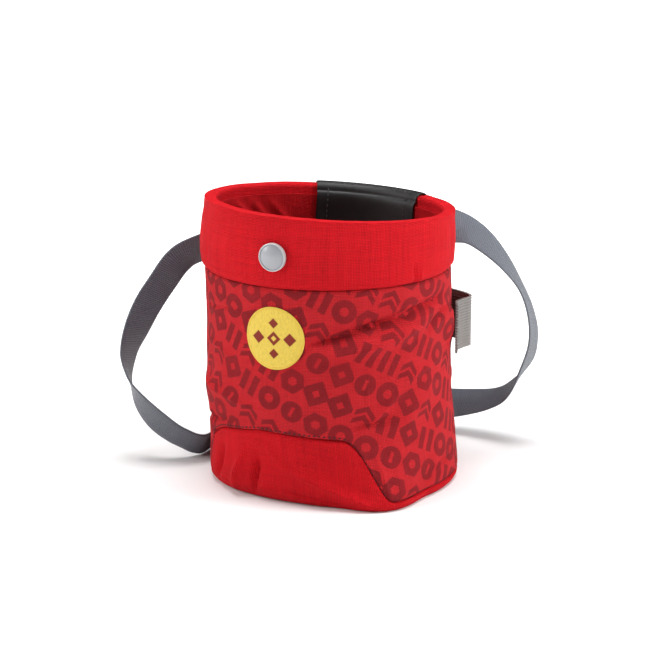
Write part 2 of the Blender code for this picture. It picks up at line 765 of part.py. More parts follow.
def make_badge(surface):
    """The round embroidered patch, bent to the printed cloth."""

    def bent(vert, lift):
        height = BADGE_HEIGHT + vert.co.y
        angle = BADGE_ANGLE + math.degrees(vert.co.x / shell_outside(BADGE_ANGLE, height))
        return place(angle, height, shell_outside(angle, height) + 1.5 * GAP + lift)

    bm = bmesh.new()
    bmesh.ops.create_circle(bm, cap_ends=True, segments=BADGE_SIDES, radius=BADGE_RADIUS)
    for _ in range(BADGE_RINGS - 1):
        middle = [face for face in bm.faces if len(face.verts) == BADGE_SIDES]
        bmesh.ops.inset_individual(bm, faces=middle, thickness=BADGE_RADIUS / BADGE_RINGS)
    middle = [face for face in bm.faces if len(face.verts) == BADGE_SIDES]
    bmesh.ops.poke(bm, faces=middle)
    grown = bmesh.ops.extrude_face_region(bm, geom=bm.faces[:], use_keep_orig=True)
    tops = {vert for vert in grown["geom"] if isinstance(vert, bmesh.types.BMVert)}
    for vert in bm.verts:
        vert.co = bent(vert, BADGE_THICKNESS if vert in tops else 0.0)
    return add_object("badge", close_up(bm), surface)


def clear_scene():
    """Starts from an empty scene."""
    for existing in list(bpy.data.objects):
        bpy.data.objects.remove(existing, do_unlink=True)


def build():
    """Makes every piece of the bag."""
    clear_scene()
    print_cloth = material("printed_cloth", (0.52, 0.022, 0.030), 0.78)
    plain_cloth = material("plain_red_cloth", (0.62, 0.012, 0.022), 0.80)
    lining_cloth = material("lining_cloth", (0.40, 0.006, 0.014), 0.82)
    black_cloth = material("black_cloth", (0.010, 0.009, 0.010), 0.55)
    webbing = material("grey_webbing", (0.105, 0.108, 0.135), 0.62)
    elastic = material("light_elastic", (0.36, 0.34, 0.32), 0.72)
    plastic = material("dark_plastic", (0.030, 0.030, 0.034), 0.42)
    enamel = material("grey_enamel", (0.36, 0.39, 0.44), 0.34, 0.25)
    thread = material("yellow_thread", (0.83, 0.52, 0.075), 0.62)

    make_shell(print_cloth)
    make_base(plain_cloth)
    collar = make_collar(plain_cloth)
    lining = make_lining(lining_cloth)
    hole = snap_hole_cutter()
    cut(collar, hole)
    cut(lining, hole)
    make_rear_patch(black_cloth)
    make_belt(webbing)
    make_buckle(plastic)
    make_brush_loop(elastic)
    make_snap_button(enamel)
    make_badge(thread)


build()
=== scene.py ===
# The looks of a climbing chalk bag: its cloths, padding, stitches, webbing and small parts.
# Metres, +Z up. The bag stands on the floor at the origin and its front looks along -Y.

import math
from collections import namedtuple

import bmesh
import bpy
from mathutils import Matrix, Vector, noise


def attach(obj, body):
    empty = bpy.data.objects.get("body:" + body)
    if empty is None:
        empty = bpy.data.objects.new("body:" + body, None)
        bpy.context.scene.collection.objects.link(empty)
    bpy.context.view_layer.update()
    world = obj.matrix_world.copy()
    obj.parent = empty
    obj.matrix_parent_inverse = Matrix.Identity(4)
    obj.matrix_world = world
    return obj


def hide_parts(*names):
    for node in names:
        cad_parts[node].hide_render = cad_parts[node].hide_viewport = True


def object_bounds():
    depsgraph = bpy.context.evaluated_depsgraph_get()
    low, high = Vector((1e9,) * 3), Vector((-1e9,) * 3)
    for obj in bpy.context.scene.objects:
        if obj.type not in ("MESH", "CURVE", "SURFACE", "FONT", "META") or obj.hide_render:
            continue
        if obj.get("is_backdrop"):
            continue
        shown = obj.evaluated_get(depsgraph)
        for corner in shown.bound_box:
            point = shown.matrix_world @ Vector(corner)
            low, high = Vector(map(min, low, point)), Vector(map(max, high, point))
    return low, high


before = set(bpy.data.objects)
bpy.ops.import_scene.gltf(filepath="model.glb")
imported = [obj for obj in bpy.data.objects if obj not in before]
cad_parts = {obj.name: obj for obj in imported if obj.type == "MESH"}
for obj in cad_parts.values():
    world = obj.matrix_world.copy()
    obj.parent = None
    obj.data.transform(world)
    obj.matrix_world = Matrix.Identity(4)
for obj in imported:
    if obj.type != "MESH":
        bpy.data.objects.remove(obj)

CAD_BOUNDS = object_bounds()
BODY = "root"
MM = 0.001

# Sizes of the solids
BODY_RADIUS = 66.6 * MM
BODY_HEIGHT = 120.4 * MM
BODY_WALL = 1.6 * MM
GAP = 0.3 * MM

COLLAR_HEIGHT = 34.0 * MM
COLLAR_PAD = 7.0 * MM
COLLAR_PROUD = 1.0 * MM
COLLAR_BULGE = 0.8 * MM
COLLAR_EDGE = 1.4 * MM
RIM_DROP_TO_RIGHT = 3.7 * MM
RIM_RISE_TO_FRONT = 2.7 * MM

FLOOR_WALL = 2.0 * MM
BAND_HEIGHT = 4.8 * MM
TONGUE_HEIGHT = 41.0 * MM
CURL_LOW = 5.0 * MM
CURL_HIGH = 15.0 * MM
CURL_DEPTH_SHARE = 0.62
CURL_ANGLE = -34.0
CURL_SPREAD = 62.0

LINING_WALL = 1.1 * MM
LINING_SLACK = 0.6 * MM
LINING_FOOT_SLACK = 1.6 * MM
LINING_BELOW_RIM = 6.0 * MM
LINING_FOOT_SHARE = 0.2
LINING_STEP_SHARE = 0.87

PATCH_WALL = 1.0 * MM
PATCH_GAP = 0.5 * MM
PATCH_INSIDE_DEPTH = 37.0 * MM
PATCH_OUTSIDE_DEPTH = 47.0 * MM
PATCH_STEP = 3.2 * MM
PATCH_TOP_LAND = 2.0 * MM
PATCH_START_ANGLE = 126.667
PATCH_END_ANGLE = 186.667

BELT_WIDTH = 20.0 * MM
BELT_THICKNESS = 1.3 * MM
BELT_REACH = 50.0 * MM
BELT_SIDE_ROOM = 4.4 * MM
TUNNEL_ROOM = 0.9 * MM
TUNNEL_RISE = 8.0 * MM
BUCKLE_FLOOR_GAP = 0.6 * MM

BUCKLE_LENGTH = 34.0 * MM
BUCKLE_WALL = 2.4 * MM
BUCKLE_CLEARANCE = 0.4 * MM
BELT_TAIL_GAP = 4.0 * MM
BELT_STRAIGHT = 7.0 * MM

LOOP_WIDTH = 28.4 * MM
LOOP_THICKNESS = 1.5 * MM
LOOP_REACH = 9.2 * MM
LOOP_HEIGHT = BODY_HEIGHT - 34.4 * MM

SNAP_RADIUS = 7.5 * MM
SNAP_DOME = 2.6 * MM
SNAP_EDGE = 0.9 * MM
SNAP_POST_RADIUS = 2.0 * MM
SNAP_HEAD_RADIUS = 5.5 * MM
SNAP_HEAD_THICKNESS = 1.4 * MM
SNAP_HEIGHT = BODY_HEIGHT + 17.4 * MM
SNAP_ANGLE = -23.6

BADGE_RADIUS = 16.9 * MM
BADGE_THICKNESS = 1.1 * MM
BADGE_HEIGHT = BODY_HEIGHT - 27.0 * MM
BADGE_ANGLE = -25.0
BADGE_CALM_START = 12.7 * MM
BADGE_CALM_REACH = 13.3 * MM

MERGE = 0.00001

# How the bag leans and swells on its way up: heights are shares of BODY_HEIGHT, the rest of BODY_RADIUS
Level = namedtuple("Level", "height lean radius")
LEVELS = (
    Level(0.00, 0.030, 1.020),
    Level(0.15, 0.026, 1.005),
    Level(0.45, -0.018, 0.995),
    Level(0.75, -0.014, 0.992),
    Level(0.97, -0.022, 0.988),
    Level(1.07, -0.034, 1.000),
    Level(1.30, -0.006, 0.988),
)
LEVEL_SOFTENING = 0.05

# Broad dents and swellings that every layer follows: angles in degrees from the front towards the right,
# height and reach as shares of BODY_HEIGHT, and depth as a share of BODY_RADIUS, outwards if positive
Dent = namedtuple("Dent", "angle spread height reach depth")
DENTS = (
    Dent(23, 26, 0.00, 0.42, 0.115),
    Dent(-18, 44, 0.10, 0.40, -0.045),
    Dent(-72, 30, 0.12, 0.25, 0.020),
    Dent(150, 60, 0.10, 0.45, -0.030),
    Dent(205, 40, 0.45, 0.35, -0.025),
    Dent(60, 40, 0.62, 0.30, -0.015),
)

# Folds of the outer cloth, each along a line from one place on the body to another:
# angles in degrees, heights as shares of BODY_HEIGHT, width and lift as shares of BODY_RADIUS
Fold = namedtuple("Fold", "angle height end_angle end_height width lift")
FOLDS = (
    Fold(4, 0.72, 44, 0.82, 0.17, 0.055),
    Fold(66, 0.84, 86, 0.66, 0.17, 0.040),
    Fold(-84, 0.42, -52, 0.52, 0.17, 0.034),
    Fold(26, 0.34, 58, 0.52, 0.19, 0.032),
    Fold(196, 0.80, 232, 0.62, 0.20, 0.045),
    Fold(138, 0.35, 172, 0.55, 0.20, 0.040),
)

# Finer creases of the printed cloth, with a sharper crest
BODY_CREASES = (
    Fold(-8, 0.705, 22, 0.745, 0.090, 0.048),
    Fold(18, 0.750, 50, 0.812, 0.100, 0.046),
    Fold(-10, 0.755, 14, 0.805, 0.095, -0.088),
    Fold(8, 0.812, 42, 0.865, 0.100, -0.118),
    Fold(34, 0.862, 64, 0.905, 0.090, -0.085),
    Fold(50, 0.760, 68, 0.850, 0.075, -0.040),
    Fold(62, 0.880, 80, 0.780, 0.070, 0.020),
    Fold(-80, 0.835, -38, 0.890, 0.040, -0.018),
    Fold(-76, 0.700, -44, 0.640, 0.070, 0.018),
    Fold(-98, 0.260, -44, 0.370, 0.050, -0.036),
    Fold(-80, 0.500, -30, 0.430, 0.085, 0.032),
    Fold(8, 0.370, 34, 0.410, 0.080, -0.042),
    Fold(10, 0.330, 34, 0.520, 0.080, 0.026),
    Fold(30, 0.560, 64, 0.620, 0.085, 0.022),
    Fold(23, 0.040, 19, 0.260, 0.050, 0.022),
    Fold(38, 0.080, 76, 0.160, 0.070, -0.022),
    Fold(84, 0.450, 112, 0.560, 0.070, 0.014),
    Fold(100, 0.230, 140, 0.300, 0.070, -0.014),
    Fold(150, 0.640, 190, 0.560, 0.070, 0.014),
    Fold(186, 0.300, 224, 0.420, 0.070, 0.014),
    Fold(216, 0.860, 244, 0.780, 0.060, -0.014),
    Fold(238, 0.520, 268, 0.600, 0.060, 0.012),
    Fold(232, 0.180, 262, 0.240, 0.060, -0.012),
)

# The seam where the printed cloth meets the plain base: heights as shares of the way from
# BAND_HEIGHT to TONGUE_HEIGHT
SeamPoint = namedtuple("SeamPoint", "angle rise")
SEAM = (
    SeamPoint(-180, 0.00),
    SeamPoint(-78, 0.00),
    SeamPoint(-70, 0.70),
    SeamPoint(-60, 0.86),
    SeamPoint(-34, 1.00),
    SeamPoint(-14, 0.97),
    SeamPoint(6, 0.93),
    SeamPoint(10.5, 0.84),
    SeamPoint(14, 0.62),
    SeamPoint(20, 0.14),
    SeamPoint(23, 0.00),
    SeamPoint(180, 0.00),
)

# The belt's free run from the buckle round the left, through the tunnel and round the right:
# out is a share of BELT_REACH beyond the tunnel, rise a share of the way from the floor run up to
# the tunnel, and x, y, z point across the strap to the edge that is on top in the tunnel
BeltPoint = namedtuple("BeltPoint", "angle out rise x y z")
BELT_LEFT = (
    BeltPoint(233, 0.12, -0.02, 0.12, -0.36, 0.92),
    BeltPoint(255, 0.13, -0.035, 0.24, -0.64, 0.72),
    BeltPoint(261.5, 0.35, 0.015, 0.34, -0.64, 0.68),
    BeltPoint(262.5, 0.60, 0.10, 0.40, -0.62, 0.67),
    BeltPoint(261, 0.79, 0.19, 0.33, -0.80, 0.48),
    BeltPoint(259, 0.90, 0.29, 0.06, -1.00, 0.06),
    BeltPoint(257, 0.92, 0.40, -0.38, -0.92, 0.05),
    BeltPoint(256, 0.84, 0.52, -0.64, -0.72, 0.22),
    BeltPoint(255, 0.71, 0.65, -0.70, -0.60, 0.40),
    BeltPoint(253, 0.54, 0.77, -0.68, -0.57, 0.46),
    BeltPoint(250, 0.36, 0.88, -0.50, -0.52, 0.68),
    BeltPoint(242, 0.17, 0.93, -0.30, -0.60, 0.74),
    BeltPoint(218, 0.05, 0.965, -0.08, -0.24, 0.97),
)
BELT_TUNNEL = (
    BeltPoint(195, 0.00, 0.985, 0.0, 0.0, 1.0),
    BeltPoint(178, 0.00, 1.00, 0.0, 0.0, 1.0),
    BeltPoint(161, 0.00, 1.01, 0.0, 0.0, 1.0),
    BeltPoint(144, 0.00, 1.02, 0.0, 0.0, 1.0),
    BeltPoint(131, 0.00, 1.025, 0.0, 0.0, 1.0),
    BeltPoint(126, 0.005, 1.03, 0.0, 0.05, 1.0),
)
BELT_RIGHT = (
    BeltPoint(120.5, 0.13, 1.035, 0.05, 0.30, 0.95),
    BeltPoint(117.5, 0.36, 1.01, 0.24, 0.72, 0.60),
    BeltPoint(115, 0.57, 0.94, 0.28, 0.84, 0.42),
    BeltPoint(113, 0.76, 0.84, 0.20, 0.94, 0.24),
    BeltPoint(111, 0.92, 0.72, 0.12, 0.98, 0.08),
    BeltPoint(110, 1.03, 0.59, 0.22, 0.96, 0.04),
    BeltPoint(110, 1.08, 0.45, 0.34, 0.92, 0.00),
    BeltPoint(111.5, 1.03, 0.31, 0.38, 0.90, -0.10),
    BeltPoint(116, 0.89, 0.165, 0.04, 1.00, 0.00),
    BeltPoint(122, 0.78, 0.09, -0.10, 0.97, 0.14),
    BeltPoint(131, 0.65, 0.045, -0.10, 0.86, 0.48),
    BeltPoint(143, 0.49, 0.015, -0.05, 0.58, 0.80),
    BeltPoint(156, 0.31, 0.00, 0.00, 0.18, 0.98),
)
BUCKLE_ANGLE = 180.0
BUCKLE_OUT = 0.17

# The brush loop seen from above: out is a share of LOOP_REACH beyond the body cloth
LoopPoint = namedtuple("LoopPoint", "angle out")
LOOP = (
    LoopPoint(78.5, 0.0),
    LoopPoint(83.5, 0.0),
    LoopPoint(88.5, 0.48),
    LoopPoint(93.0, 1.0),
    LoopPoint(98.0, 0.92),
    LoopPoint(105.5, 0.42),
    LoopPoint(112.5, 0.0),
    LoopPoint(118.0, 0.0),
)

# Creases of the lining inside the mouth, and of the plain base cloth
LINING_CREASES = (
    Fold(244, 1.24, 214, 1.02, 0.090, 0.075),
    Fold(228, 1.22, 204, 1.00, 0.070, 0.065),
    Fold(214, 1.20, 196, 1.02, 0.060, 0.045),
    Fold(262, 1.16, 238, 0.98, 0.090, 0.055),
    Fold(286, 1.14, 258, 0.92, 0.110, 0.040),
    Fold(60, 1.12, 92, 0.96, 0.110, 0.036),
    Fold(88, 1.18, 112, 0.98, 0.080, 0.032),
    Fold(-30, 0.96, 14, 0.84, 0.120, 0.045),
    Fold(10, 1.05, 40, 0.78, 0.110, 0.034),
    Fold(206, 0.70, 246, 0.50, 0.120, 0.036),
    Fold(120, 0.62, 160, 0.46, 0.120, 0.036),
)
BASE_CREASES = (
    Fold(-45, 0.230, -54, 0.020, 0.100, 0.062),
    Fold(-37, 0.230, -42, 0.020, 0.080, -0.066),
    Fold(-60, 0.220, -68, 0.030, 0.080, -0.056),
    Fold(-22, 0.170, 18, 0.020, 0.085, 0.052),
    Fold(-30, 0.080, 6, 0.015, 0.050, -0.024),
    Fold(-12, 0.270, 6, 0.180, 0.060, -0.010),
    Fold(-34, 0.290, -24, 0.180, 0.060, 0.010),
)
COLLAR_CREASES = (
    Fold(42, 0.985, 41, 1.085, 0.024, -0.030),
    Fold(45, 0.985, 45, 1.060, 0.032, 0.014),
    Fold(-72, 1.03, -60, 1.20, 0.120, -0.008),
    Fold(-4, 1.02, 8, 1.20, 0.180, -0.008),
    Fold(74, 1.05, 70, 1.22, 0.100, -0.010),
)

# How far along its line a fold reaches from its middle, as a share of the line, and how far from the
# seam and the collar the broad folds fade out, as a share of BODY_HEIGHT
FOLD_REACH = 0.75
FOLD_FADE = 0.1

# How far from a seam or an edge the fine creases fade out
BODY_CALM = 6.0 * MM
BASE_CALM = 5.0 * MM
BASE_FOOT_CALM = 4.0 * MM
BADGE_EDGE_CALM = 3.0 * MM
LINING_HOLD = 6.5 * MM
LINING_HOLD_CALM = 4.0 * MM
LINING_FOOT_CALM = 8.0 * MM
LINING_LOOSE = 0.3 * MM
PATCH_CALM = 9.0

# How deep a seam pulls the cloth in, how far from it, and the same for the edges of the cloths
BODY_TUCK = 0.5 * MM
BODY_TUCK_REACH = 2.2 * MM
BODY_TOP_TUCK_REACH = 2.6 * MM
BASE_TUCK = 0.35 * MM
BASE_TUCK_REACH = 2.0 * MM
COLLAR_TUCK_REACH = 2.2 * MM
BODY_HEM = 0.7 * MM
BODY_HEM_REACH = 1.0 * MM
BASE_HEM = 0.6 * MM
BASE_HEM_REACH = 0.9 * MM

# Uneven waves of the cloths: how far each lifts the cloth, about how wide it is, and a number that
# sets it apart from the others
Ripple = namedtuple("Ripple", "lift size seed")
BODY_RIPPLES = (Ripple(0.35 * MM, 16.0 * MM, 3.0), Ripple(0.12 * MM, 5.0 * MM, 7.0))
BASE_RIPPLES = (Ripple(0.30 * MM, 14.0 * MM, 23.0), Ripple(0.10 * MM, 5.0 * MM, 29.0))
LINING_RIPPLES = (Ripple(0.5 * MM, 11.0 * MM, 41.0), Ripple(0.3 * MM, 5.0 * MM, 43.0))
COLLAR_RIPPLES = (Ripple(0.45 * MM, 22.0 * MM, 67.0), Ripple(0.12 * MM, 6.0 * MM, 71.0))
ROLL_RIPPLES = (Ripple(0.35 * MM, 20.0 * MM, 73.0), Ripple(0.15 * MM, 7.0 * MM, 79.0))
PATCH_RIPPLE = Ripple(0.22 * MM, 13.0 * MM, 83.0)

# Gathers beside the seams: how far they lift the cloth, how far they reach, how wide and which they are
Pucker = namedtuple("Pucker", "lift reach size seed")
BODY_LOW_PUCKER = Pucker(0.35 * MM, 8.0 * MM, 4.5 * MM, 11.0)
BODY_TOP_PUCKER = Pucker(0.35 * MM, 9.0 * MM, 5.5 * MM, 17.0)
BASE_PUCKER = Pucker(0.30 * MM, 8.0 * MM, 4.5 * MM, 31.0)
COLLAR_PUCKER = Pucker(0.35 * MM, 9.0 * MM, 5.0 * MM, 61.0)

# How finely the cloth is divided, and the angle behind the black patch where each ring of it closes
AROUND = 360
SHELL_FINE_ROWS = 96
INNER_FINE_ROWS = 24
BASE_ROWS = 44
BASE_ROW_POWER = 1.5
BASE_INNER_ROWS = 10
LINING_ROWS = 64
RING_START = 157.0
STITCH_SIDES = 8


# Shape of the bag

def hill(distance, reach):
    """A smooth hill that is 1 at no distance and 0 past its reach."""
    if abs(distance) >= reach:
        return 0.0
    return 0.5 + 0.5 * math.cos(math.pi * distance / reach)


def crest(distance, reach):
    """A hill with a sharp crest, as creased cloth has."""
    if abs(distance) >= reach:
        return 0.0
    part = 1.0 - abs(distance) / reach
    return part * part


def turn_between(angle, other):
    """The signed turn in degrees from one angle to another, by the short way round."""
    return (other - angle + 180.0) % 360.0 - 180.0


def ease(share):
    """Goes from 0 to 1 with a soft start and end."""
    share = min(max(share, 0.0), 1.0)
    return share * share * (3.0 - 2.0 * share)


def blend_rows(rows, key, position):
    """Reads every column of a table between the two rows round the position."""
    rows = list(rows)
    if position <= getattr(rows[0], key):
        return rows[0]
    for low, high in zip(rows, rows[1:]):
        start = getattr(low, key)
        end = getattr(high, key)
        if position <= end:
            share = (position - start) / (end - start)
            return type(low)(*[a + (b - a) * share for a, b in zip(low, high)])
    return rows[-1]


def level_at(height):
    """The bag's lean and radius shares at a height, with the corners between rows eased."""
    share = height / BODY_HEIGHT
    samples = [blend_rows(LEVELS, "height", share + step * LEVEL_SOFTENING) for step in (-1, 0, 1)]
    return Level(share, sum(s.lean for s in samples) / 3, sum(s.radius for s in samples) / 3)


def curl_height(angle):
    """How high the rounding of the bottom edge reaches, most at the front left."""
    return CURL_LOW + (CURL_HIGH - CURL_LOW) * hill(turn_between(CURL_ANGLE, angle), CURL_SPREAD)


def core_radius(angle, height):
    """The surface between the body cloth and the lining, as a distance from the leaning axis."""
    radius = BODY_RADIUS * level_at(height).radius
    share = height / BODY_HEIGHT
    for dent in DENTS:
        around = hill(turn_between(dent.angle, angle), dent.spread)
        radius += BODY_RADIUS * dent.depth * around * hill(share - dent.height, dent.reach)
    curl = curl_height(angle)
    if height < curl:
        part = 1.0 - height / curl
        radius -= curl * CURL_DEPTH_SHARE * (1.0 - math.sqrt(1.0 - part * part))
    return radius


def place(angle, height, radius):
    """A point at an angle and height, that far from the leaning axis."""
    turn = math.radians(angle)
    lean = BODY_RADIUS * level_at(height).lean
    return Vector((lean + radius * math.sin(turn), -radius * math.cos(turn), height))


def fold_sum(folds, shape, angle, height):
    """How far all the folds of one table lift the cloth at a place."""
    lift = 0.0
    share = height / BODY_HEIGHT
    for fold in folds:
        along_angle = math.radians(turn_between(fold.angle, fold.end_angle)) * BODY_RADIUS
        along_height = (fold.end_height - fold.height) * BODY_HEIGHT
        here_angle = math.radians(turn_between(fold.angle, angle)) * BODY_RADIUS
        here_height = (share - fold.height) * BODY_HEIGHT
        length = math.hypot(along_angle, along_height)
        across = (here_height * along_angle - here_angle * along_height) / length
        width = fold.width * BODY_RADIUS
        if abs(across) >= width:
            continue
        along = (here_angle * along_angle + here_height * along_height) / length
        lift += BODY_RADIUS * fold.lift * hill(along / length - 0.5, FOLD_REACH) * shape(across, width)
    return lift


def ripple(angle, height, size, seed):
    """Small uneven waves of cloth, from -1 to 1, about as wide as size."""
    turn = math.radians(angle)
    spot = Vector((BODY_RADIUS * math.sin(turn), -BODY_RADIUS * math.cos(turn), height)) / size
    return noise.noise(spot + Vector((seed, 2.0 * seed, 0.0)))


def ripple_sum(ripples, angle, height):
    """How far several ripples lift the cloth at a place."""
    return sum(row.lift * ripple(angle, height, row.size, row.seed) for row in ripples)


def pucker_lift(pucker, angle, room):
    """How far the gathers beside a seam lift the cloth at a distance from it."""
    return pucker.lift * hill(room, pucker.reach) * ripple(angle, 0.0, pucker.size, pucker.seed)


def from_badge(angle, height):
    """The distance along the cloth from the badge's edge, below 0 inside it."""
    across = math.radians(turn_between(BADGE_ANGLE, angle)) * BODY_RADIUS
    return math.hypot(across, height - BADGE_HEIGHT) - BADGE_RADIUS


def badge_calm(angle, height):
    """Fades the folds out under the badge, whose stitches hold the cloth flat."""
    return ease((from_badge(angle, height) - BADGE_CALM_START) / BADGE_CALM_REACH)


def badge_edge_calm(angle, height):
    """Fades the fine creases out just before they reach the badge's edge."""
    return ease(from_badge(angle, height) / BADGE_EDGE_CALM)


def seam_height(angle):
    """The height of the seam between the printed cloth and the base."""
    rise = blend_rows(SEAM, "angle", turn_between(0.0, angle)).rise
    return BAND_HEIGHT + (TONGUE_HEIGHT - BAND_HEIGHT) * rise


def soft_seam_height(angle):
    """The seam's height with the corners of its line rounded."""
    return sum(seam_height(angle + step) for step in (-2.0, -1.0, 0.0, 1.0, 2.0)) / 5.0


def shell_inside(angle, height):
    """The inner face of the printed cloth, which the folds carry with them."""
    free = ease((height - seam_height(angle)) / (FOLD_FADE * BODY_HEIGHT))
    free *= ease((BODY_HEIGHT - height) / (FOLD_FADE * BODY_HEIGHT))
    lift = fold_sum(FOLDS, hill, angle, height) * badge_calm(angle, height)
    return core_radius(angle, height) + 0.5 * GAP + lift * free


def body_wrinkle(angle, height):
    """The fine creases and puckers of the printed cloth."""
    seam_room = height - soft_seam_height(angle)
    collar_room = BODY_HEIGHT - height
    lift = fold_sum(BODY_CREASES, crest, angle, height)
    lift *= ease(seam_room / BODY_CALM) * ease(collar_room / BODY_CALM)
    lift += ripple_sum(BODY_RIPPLES, angle, height)
    lift += pucker_lift(BODY_LOW_PUCKER, angle, seam_room) + pucker_lift(BODY_TOP_PUCKER, angle, collar_room)
    tuck = hill(seam_room, BODY_TUCK_REACH) + hill(collar_room, BODY_TOP_TUCK_REACH)
    return lift * badge_edge_calm(angle, height) - BODY_TUCK * tuck


def base_wrinkle(angle, height):
    """The creases and puckers of the plain base cloth."""
    seam_room = soft_seam_height(angle) - height
    lift = fold_sum(BASE_CREASES, crest, angle, height) * ease(seam_room / BASE_CALM)
    lift += ripple_sum(BASE_RIPPLES, angle, height) + pucker_lift(BASE_PUCKER, angle, seam_room)
    return (lift - BASE_TUCK * hill(seam_room, BASE_TUCK_REACH)) * ease(height / BASE_FOOT_CALM)


def rim_height(angle):
    """The top of the collar's roll, which droops towards the right and the back."""
    turn = math.radians(angle)
    tilt = RIM_RISE_TO_FRONT * math.cos(turn) - RIM_DROP_TO_RIGHT * math.sin(turn)
    return BODY_HEIGHT + COLLAR_HEIGHT + tilt


def collar_outside(angle, height):
    """The outer face of the collar, a little proud of the printed cloth."""
    return core_radius(angle, height) + 0.5 * GAP + BODY_WALL + COLLAR_PROUD


def collar_inside(angle, height):
    """The inner face of the collar."""
    return collar_outside(angle, height) - COLLAR_PAD


def lining_step_end():
    """Where the lining has reached the inside of the collar, just below it."""
    return BODY_HEIGHT - 2.0 * GAP


def lining_step_start():
    """Where the lining starts to leave the body cloth for the collar."""
    return LINING_STEP_SHARE * BODY_HEIGHT


def collar_middle(angle):
    """The height halfway up the collar's straight part."""
    return 0.5 * (BODY_HEIGHT + 0.5 * GAP + rim_height(angle) - 0.5 * COLLAR_PAD)


def lining_outside(angle, height):
    """The outer face of the lining: loose in the body, then tight inside the collar."""
    foot = 1.0 - ease(height / (LINING_FOOT_SHARE * BODY_HEIGHT))
    loose = core_radius(angle, height) - LINING_SLACK - LINING_FOOT_SLACK * foot
    tight = collar_inside(angle, height) - 1.5 * GAP
    share = ease((height - lining_step_start()) / (lining_step_end() - lining_step_start()))
    return loose + (tight - loose) * share


def patch_calm(angle):
    """Fades the lining's creases out under the black patch."""
    middle = 0.5 * (PATCH_START_ANGLE + PATCH_END_ANGLE)
    reach = 0.5 * (PATCH_END_ANGLE - PATCH_START_ANGLE)
    return ease((abs(turn_between(middle, angle)) - reach) / PATCH_CALM)


def lining_sag(angle, height):
    """How far the lining falls inwards below its hold at the rim, also behind creases of the outer cloths."""
    free = ease((rim_height(angle) - LINING_HOLD - height) / LINING_HOLD_CALM)
    free *= ease(height / LINING_FOOT_CALM)
    sag = fold_sum(LINING_CREASES, crest, angle, height) + LINING_LOOSE
    sag += ripple_sum(LINING_RIPPLES, angle, height)
    push = fold_sum(BODY_CREASES, crest, angle, height) * ease((BODY_HEIGHT - height) / BODY_CALM)
    push = min(push + fold_sum(BASE_CREASES, crest, angle, height), 0.0)
    return max(sag, 0.0) * free * patch_calm(angle) - push


def lining_inside(angle, height):
    """The inner face of the lining without its creases."""
    return lining_outside(angle, height) - LINING_WALL


# Making meshes

def add_piece(name, bm, finish, record_slot, *nodes, smooth_angle=60.0):
    """Puts a finished mesh into the scene in place of its solids."""
    bmesh.ops.recalc_face_normals(bm, faces=bm.faces)
    mesh = bpy.data.meshes.new(name)
    bm.to_mesh(mesh)
    bm.free()
    mesh.materials.append(finish)
    mesh.shade_smooth()
    mesh.set_sharp_from_angle(angle=math.radians(smooth_angle))
    piece = bpy.data.objects.new(name, mesh)
    bpy.context.scene.collection.objects.link(piece)
    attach(piece, BODY)
    if nodes:
        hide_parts(*nodes)
    return piece


def woven_grid(around, along, spot):
    """A grid whose points move to the place that spot(column, row) gives, with its weave's map in metres."""
    bm = bmesh.new()
    bmesh.ops.create_grid(bm, x_segments=around, y_segments=along, size=1.0)
    weave_map = bm.loops.layers.uv.new("weave")
    places = {}
    for vert in bm.verts:
        column = round((vert.co.x + 1.0) * 0.5 * around)
        row = round((vert.co.y + 1.0) * 0.5 * along)
        places[vert] = spot(column, row)
    for face in bm.faces:
        for loop in face.loops:
            loop[weave_map].uv = places[loop.vert][1]
    for vert, (point, _) in places.items():
        vert.co = point
    bmesh.ops.remove_doubles(bm, verts=bm.verts, dist=MERGE)
    return bm


def measured(points):
    """Each point with its distance along the line from the first."""
    lengths = [0.0]
    for before, after in zip(points, points[1:]):
        lengths.append(lengths[-1] + (after - before).length)
    return list(zip(points, lengths))


def ring_cloth(section):
    """A ring of cloth from one section for each column: a list of points and their weave heights."""
    sections = [section(RING_START + 360.0 * column / AROUND) for column in range(AROUND)]
    rows = len(sections[0]) - 1

    def spot(column, row):
        point, up = sections[column % AROUND][row]
        return point, (2.0 * math.pi * BODY_RADIUS * column / AROUND, up)

    return woven_grid(AROUND, rows, spot)


def smooth_line(points, steps):
    """Evenly numbered points on a smooth curve through the given ones."""
    points = [points[0] * 2.0 - points[1], *points, points[-1] * 2.0 - points[-2]]
    spans = len(points) - 3
    line = []
    for step in range(steps + 1):
        place_on = step / steps * spans
        span = min(int(place_on), spans - 1)
        share = place_on - span
        before, start, end, after = points[span:span + 4]
        line.append(0.5 * (
            2.0 * start
            + (end - before) * share
            + (2.0 * before - 5.0 * start + 4.0 * end - after) * share ** 2
            + (3.0 * start - before - 3.0 * end + after) * share ** 3
        ))
    return line


def even_places(points, spacing):
    """Evenly spaced places on a line: the number of the point before each, and the share of the way on."""
    lengths = [length for _, length in measured(points)]
    count = max(2, round(lengths[-1] / spacing))
    places = []
    index = 0
    for step in range(count + 1):
        wanted = lengths[-1] * step / count
        while index < len(lengths) - 2 and lengths[index + 1] < wanted:
            index += 1
        low, high = lengths[index:index + 2]
        places.append((index, (wanted - low) / max(high - low, MERGE)))
    return places


def at_places(points, places):
    """The points of a line at such places."""
    return [points[index].lerp(points[index + 1], share) for index, share in places]


def even_line(points, spacing):
    """The same line with its points a fixed distance apart."""
    return at_places(points, even_places(points, spacing))


def close_ends(bm):
    """Closes the open ends of a strap or a patch."""
    open_edges = [edge for edge in bm.edges if edge.is_boundary]
    bmesh.ops.holes_fill(bm, edges=open_edges, sides=0)


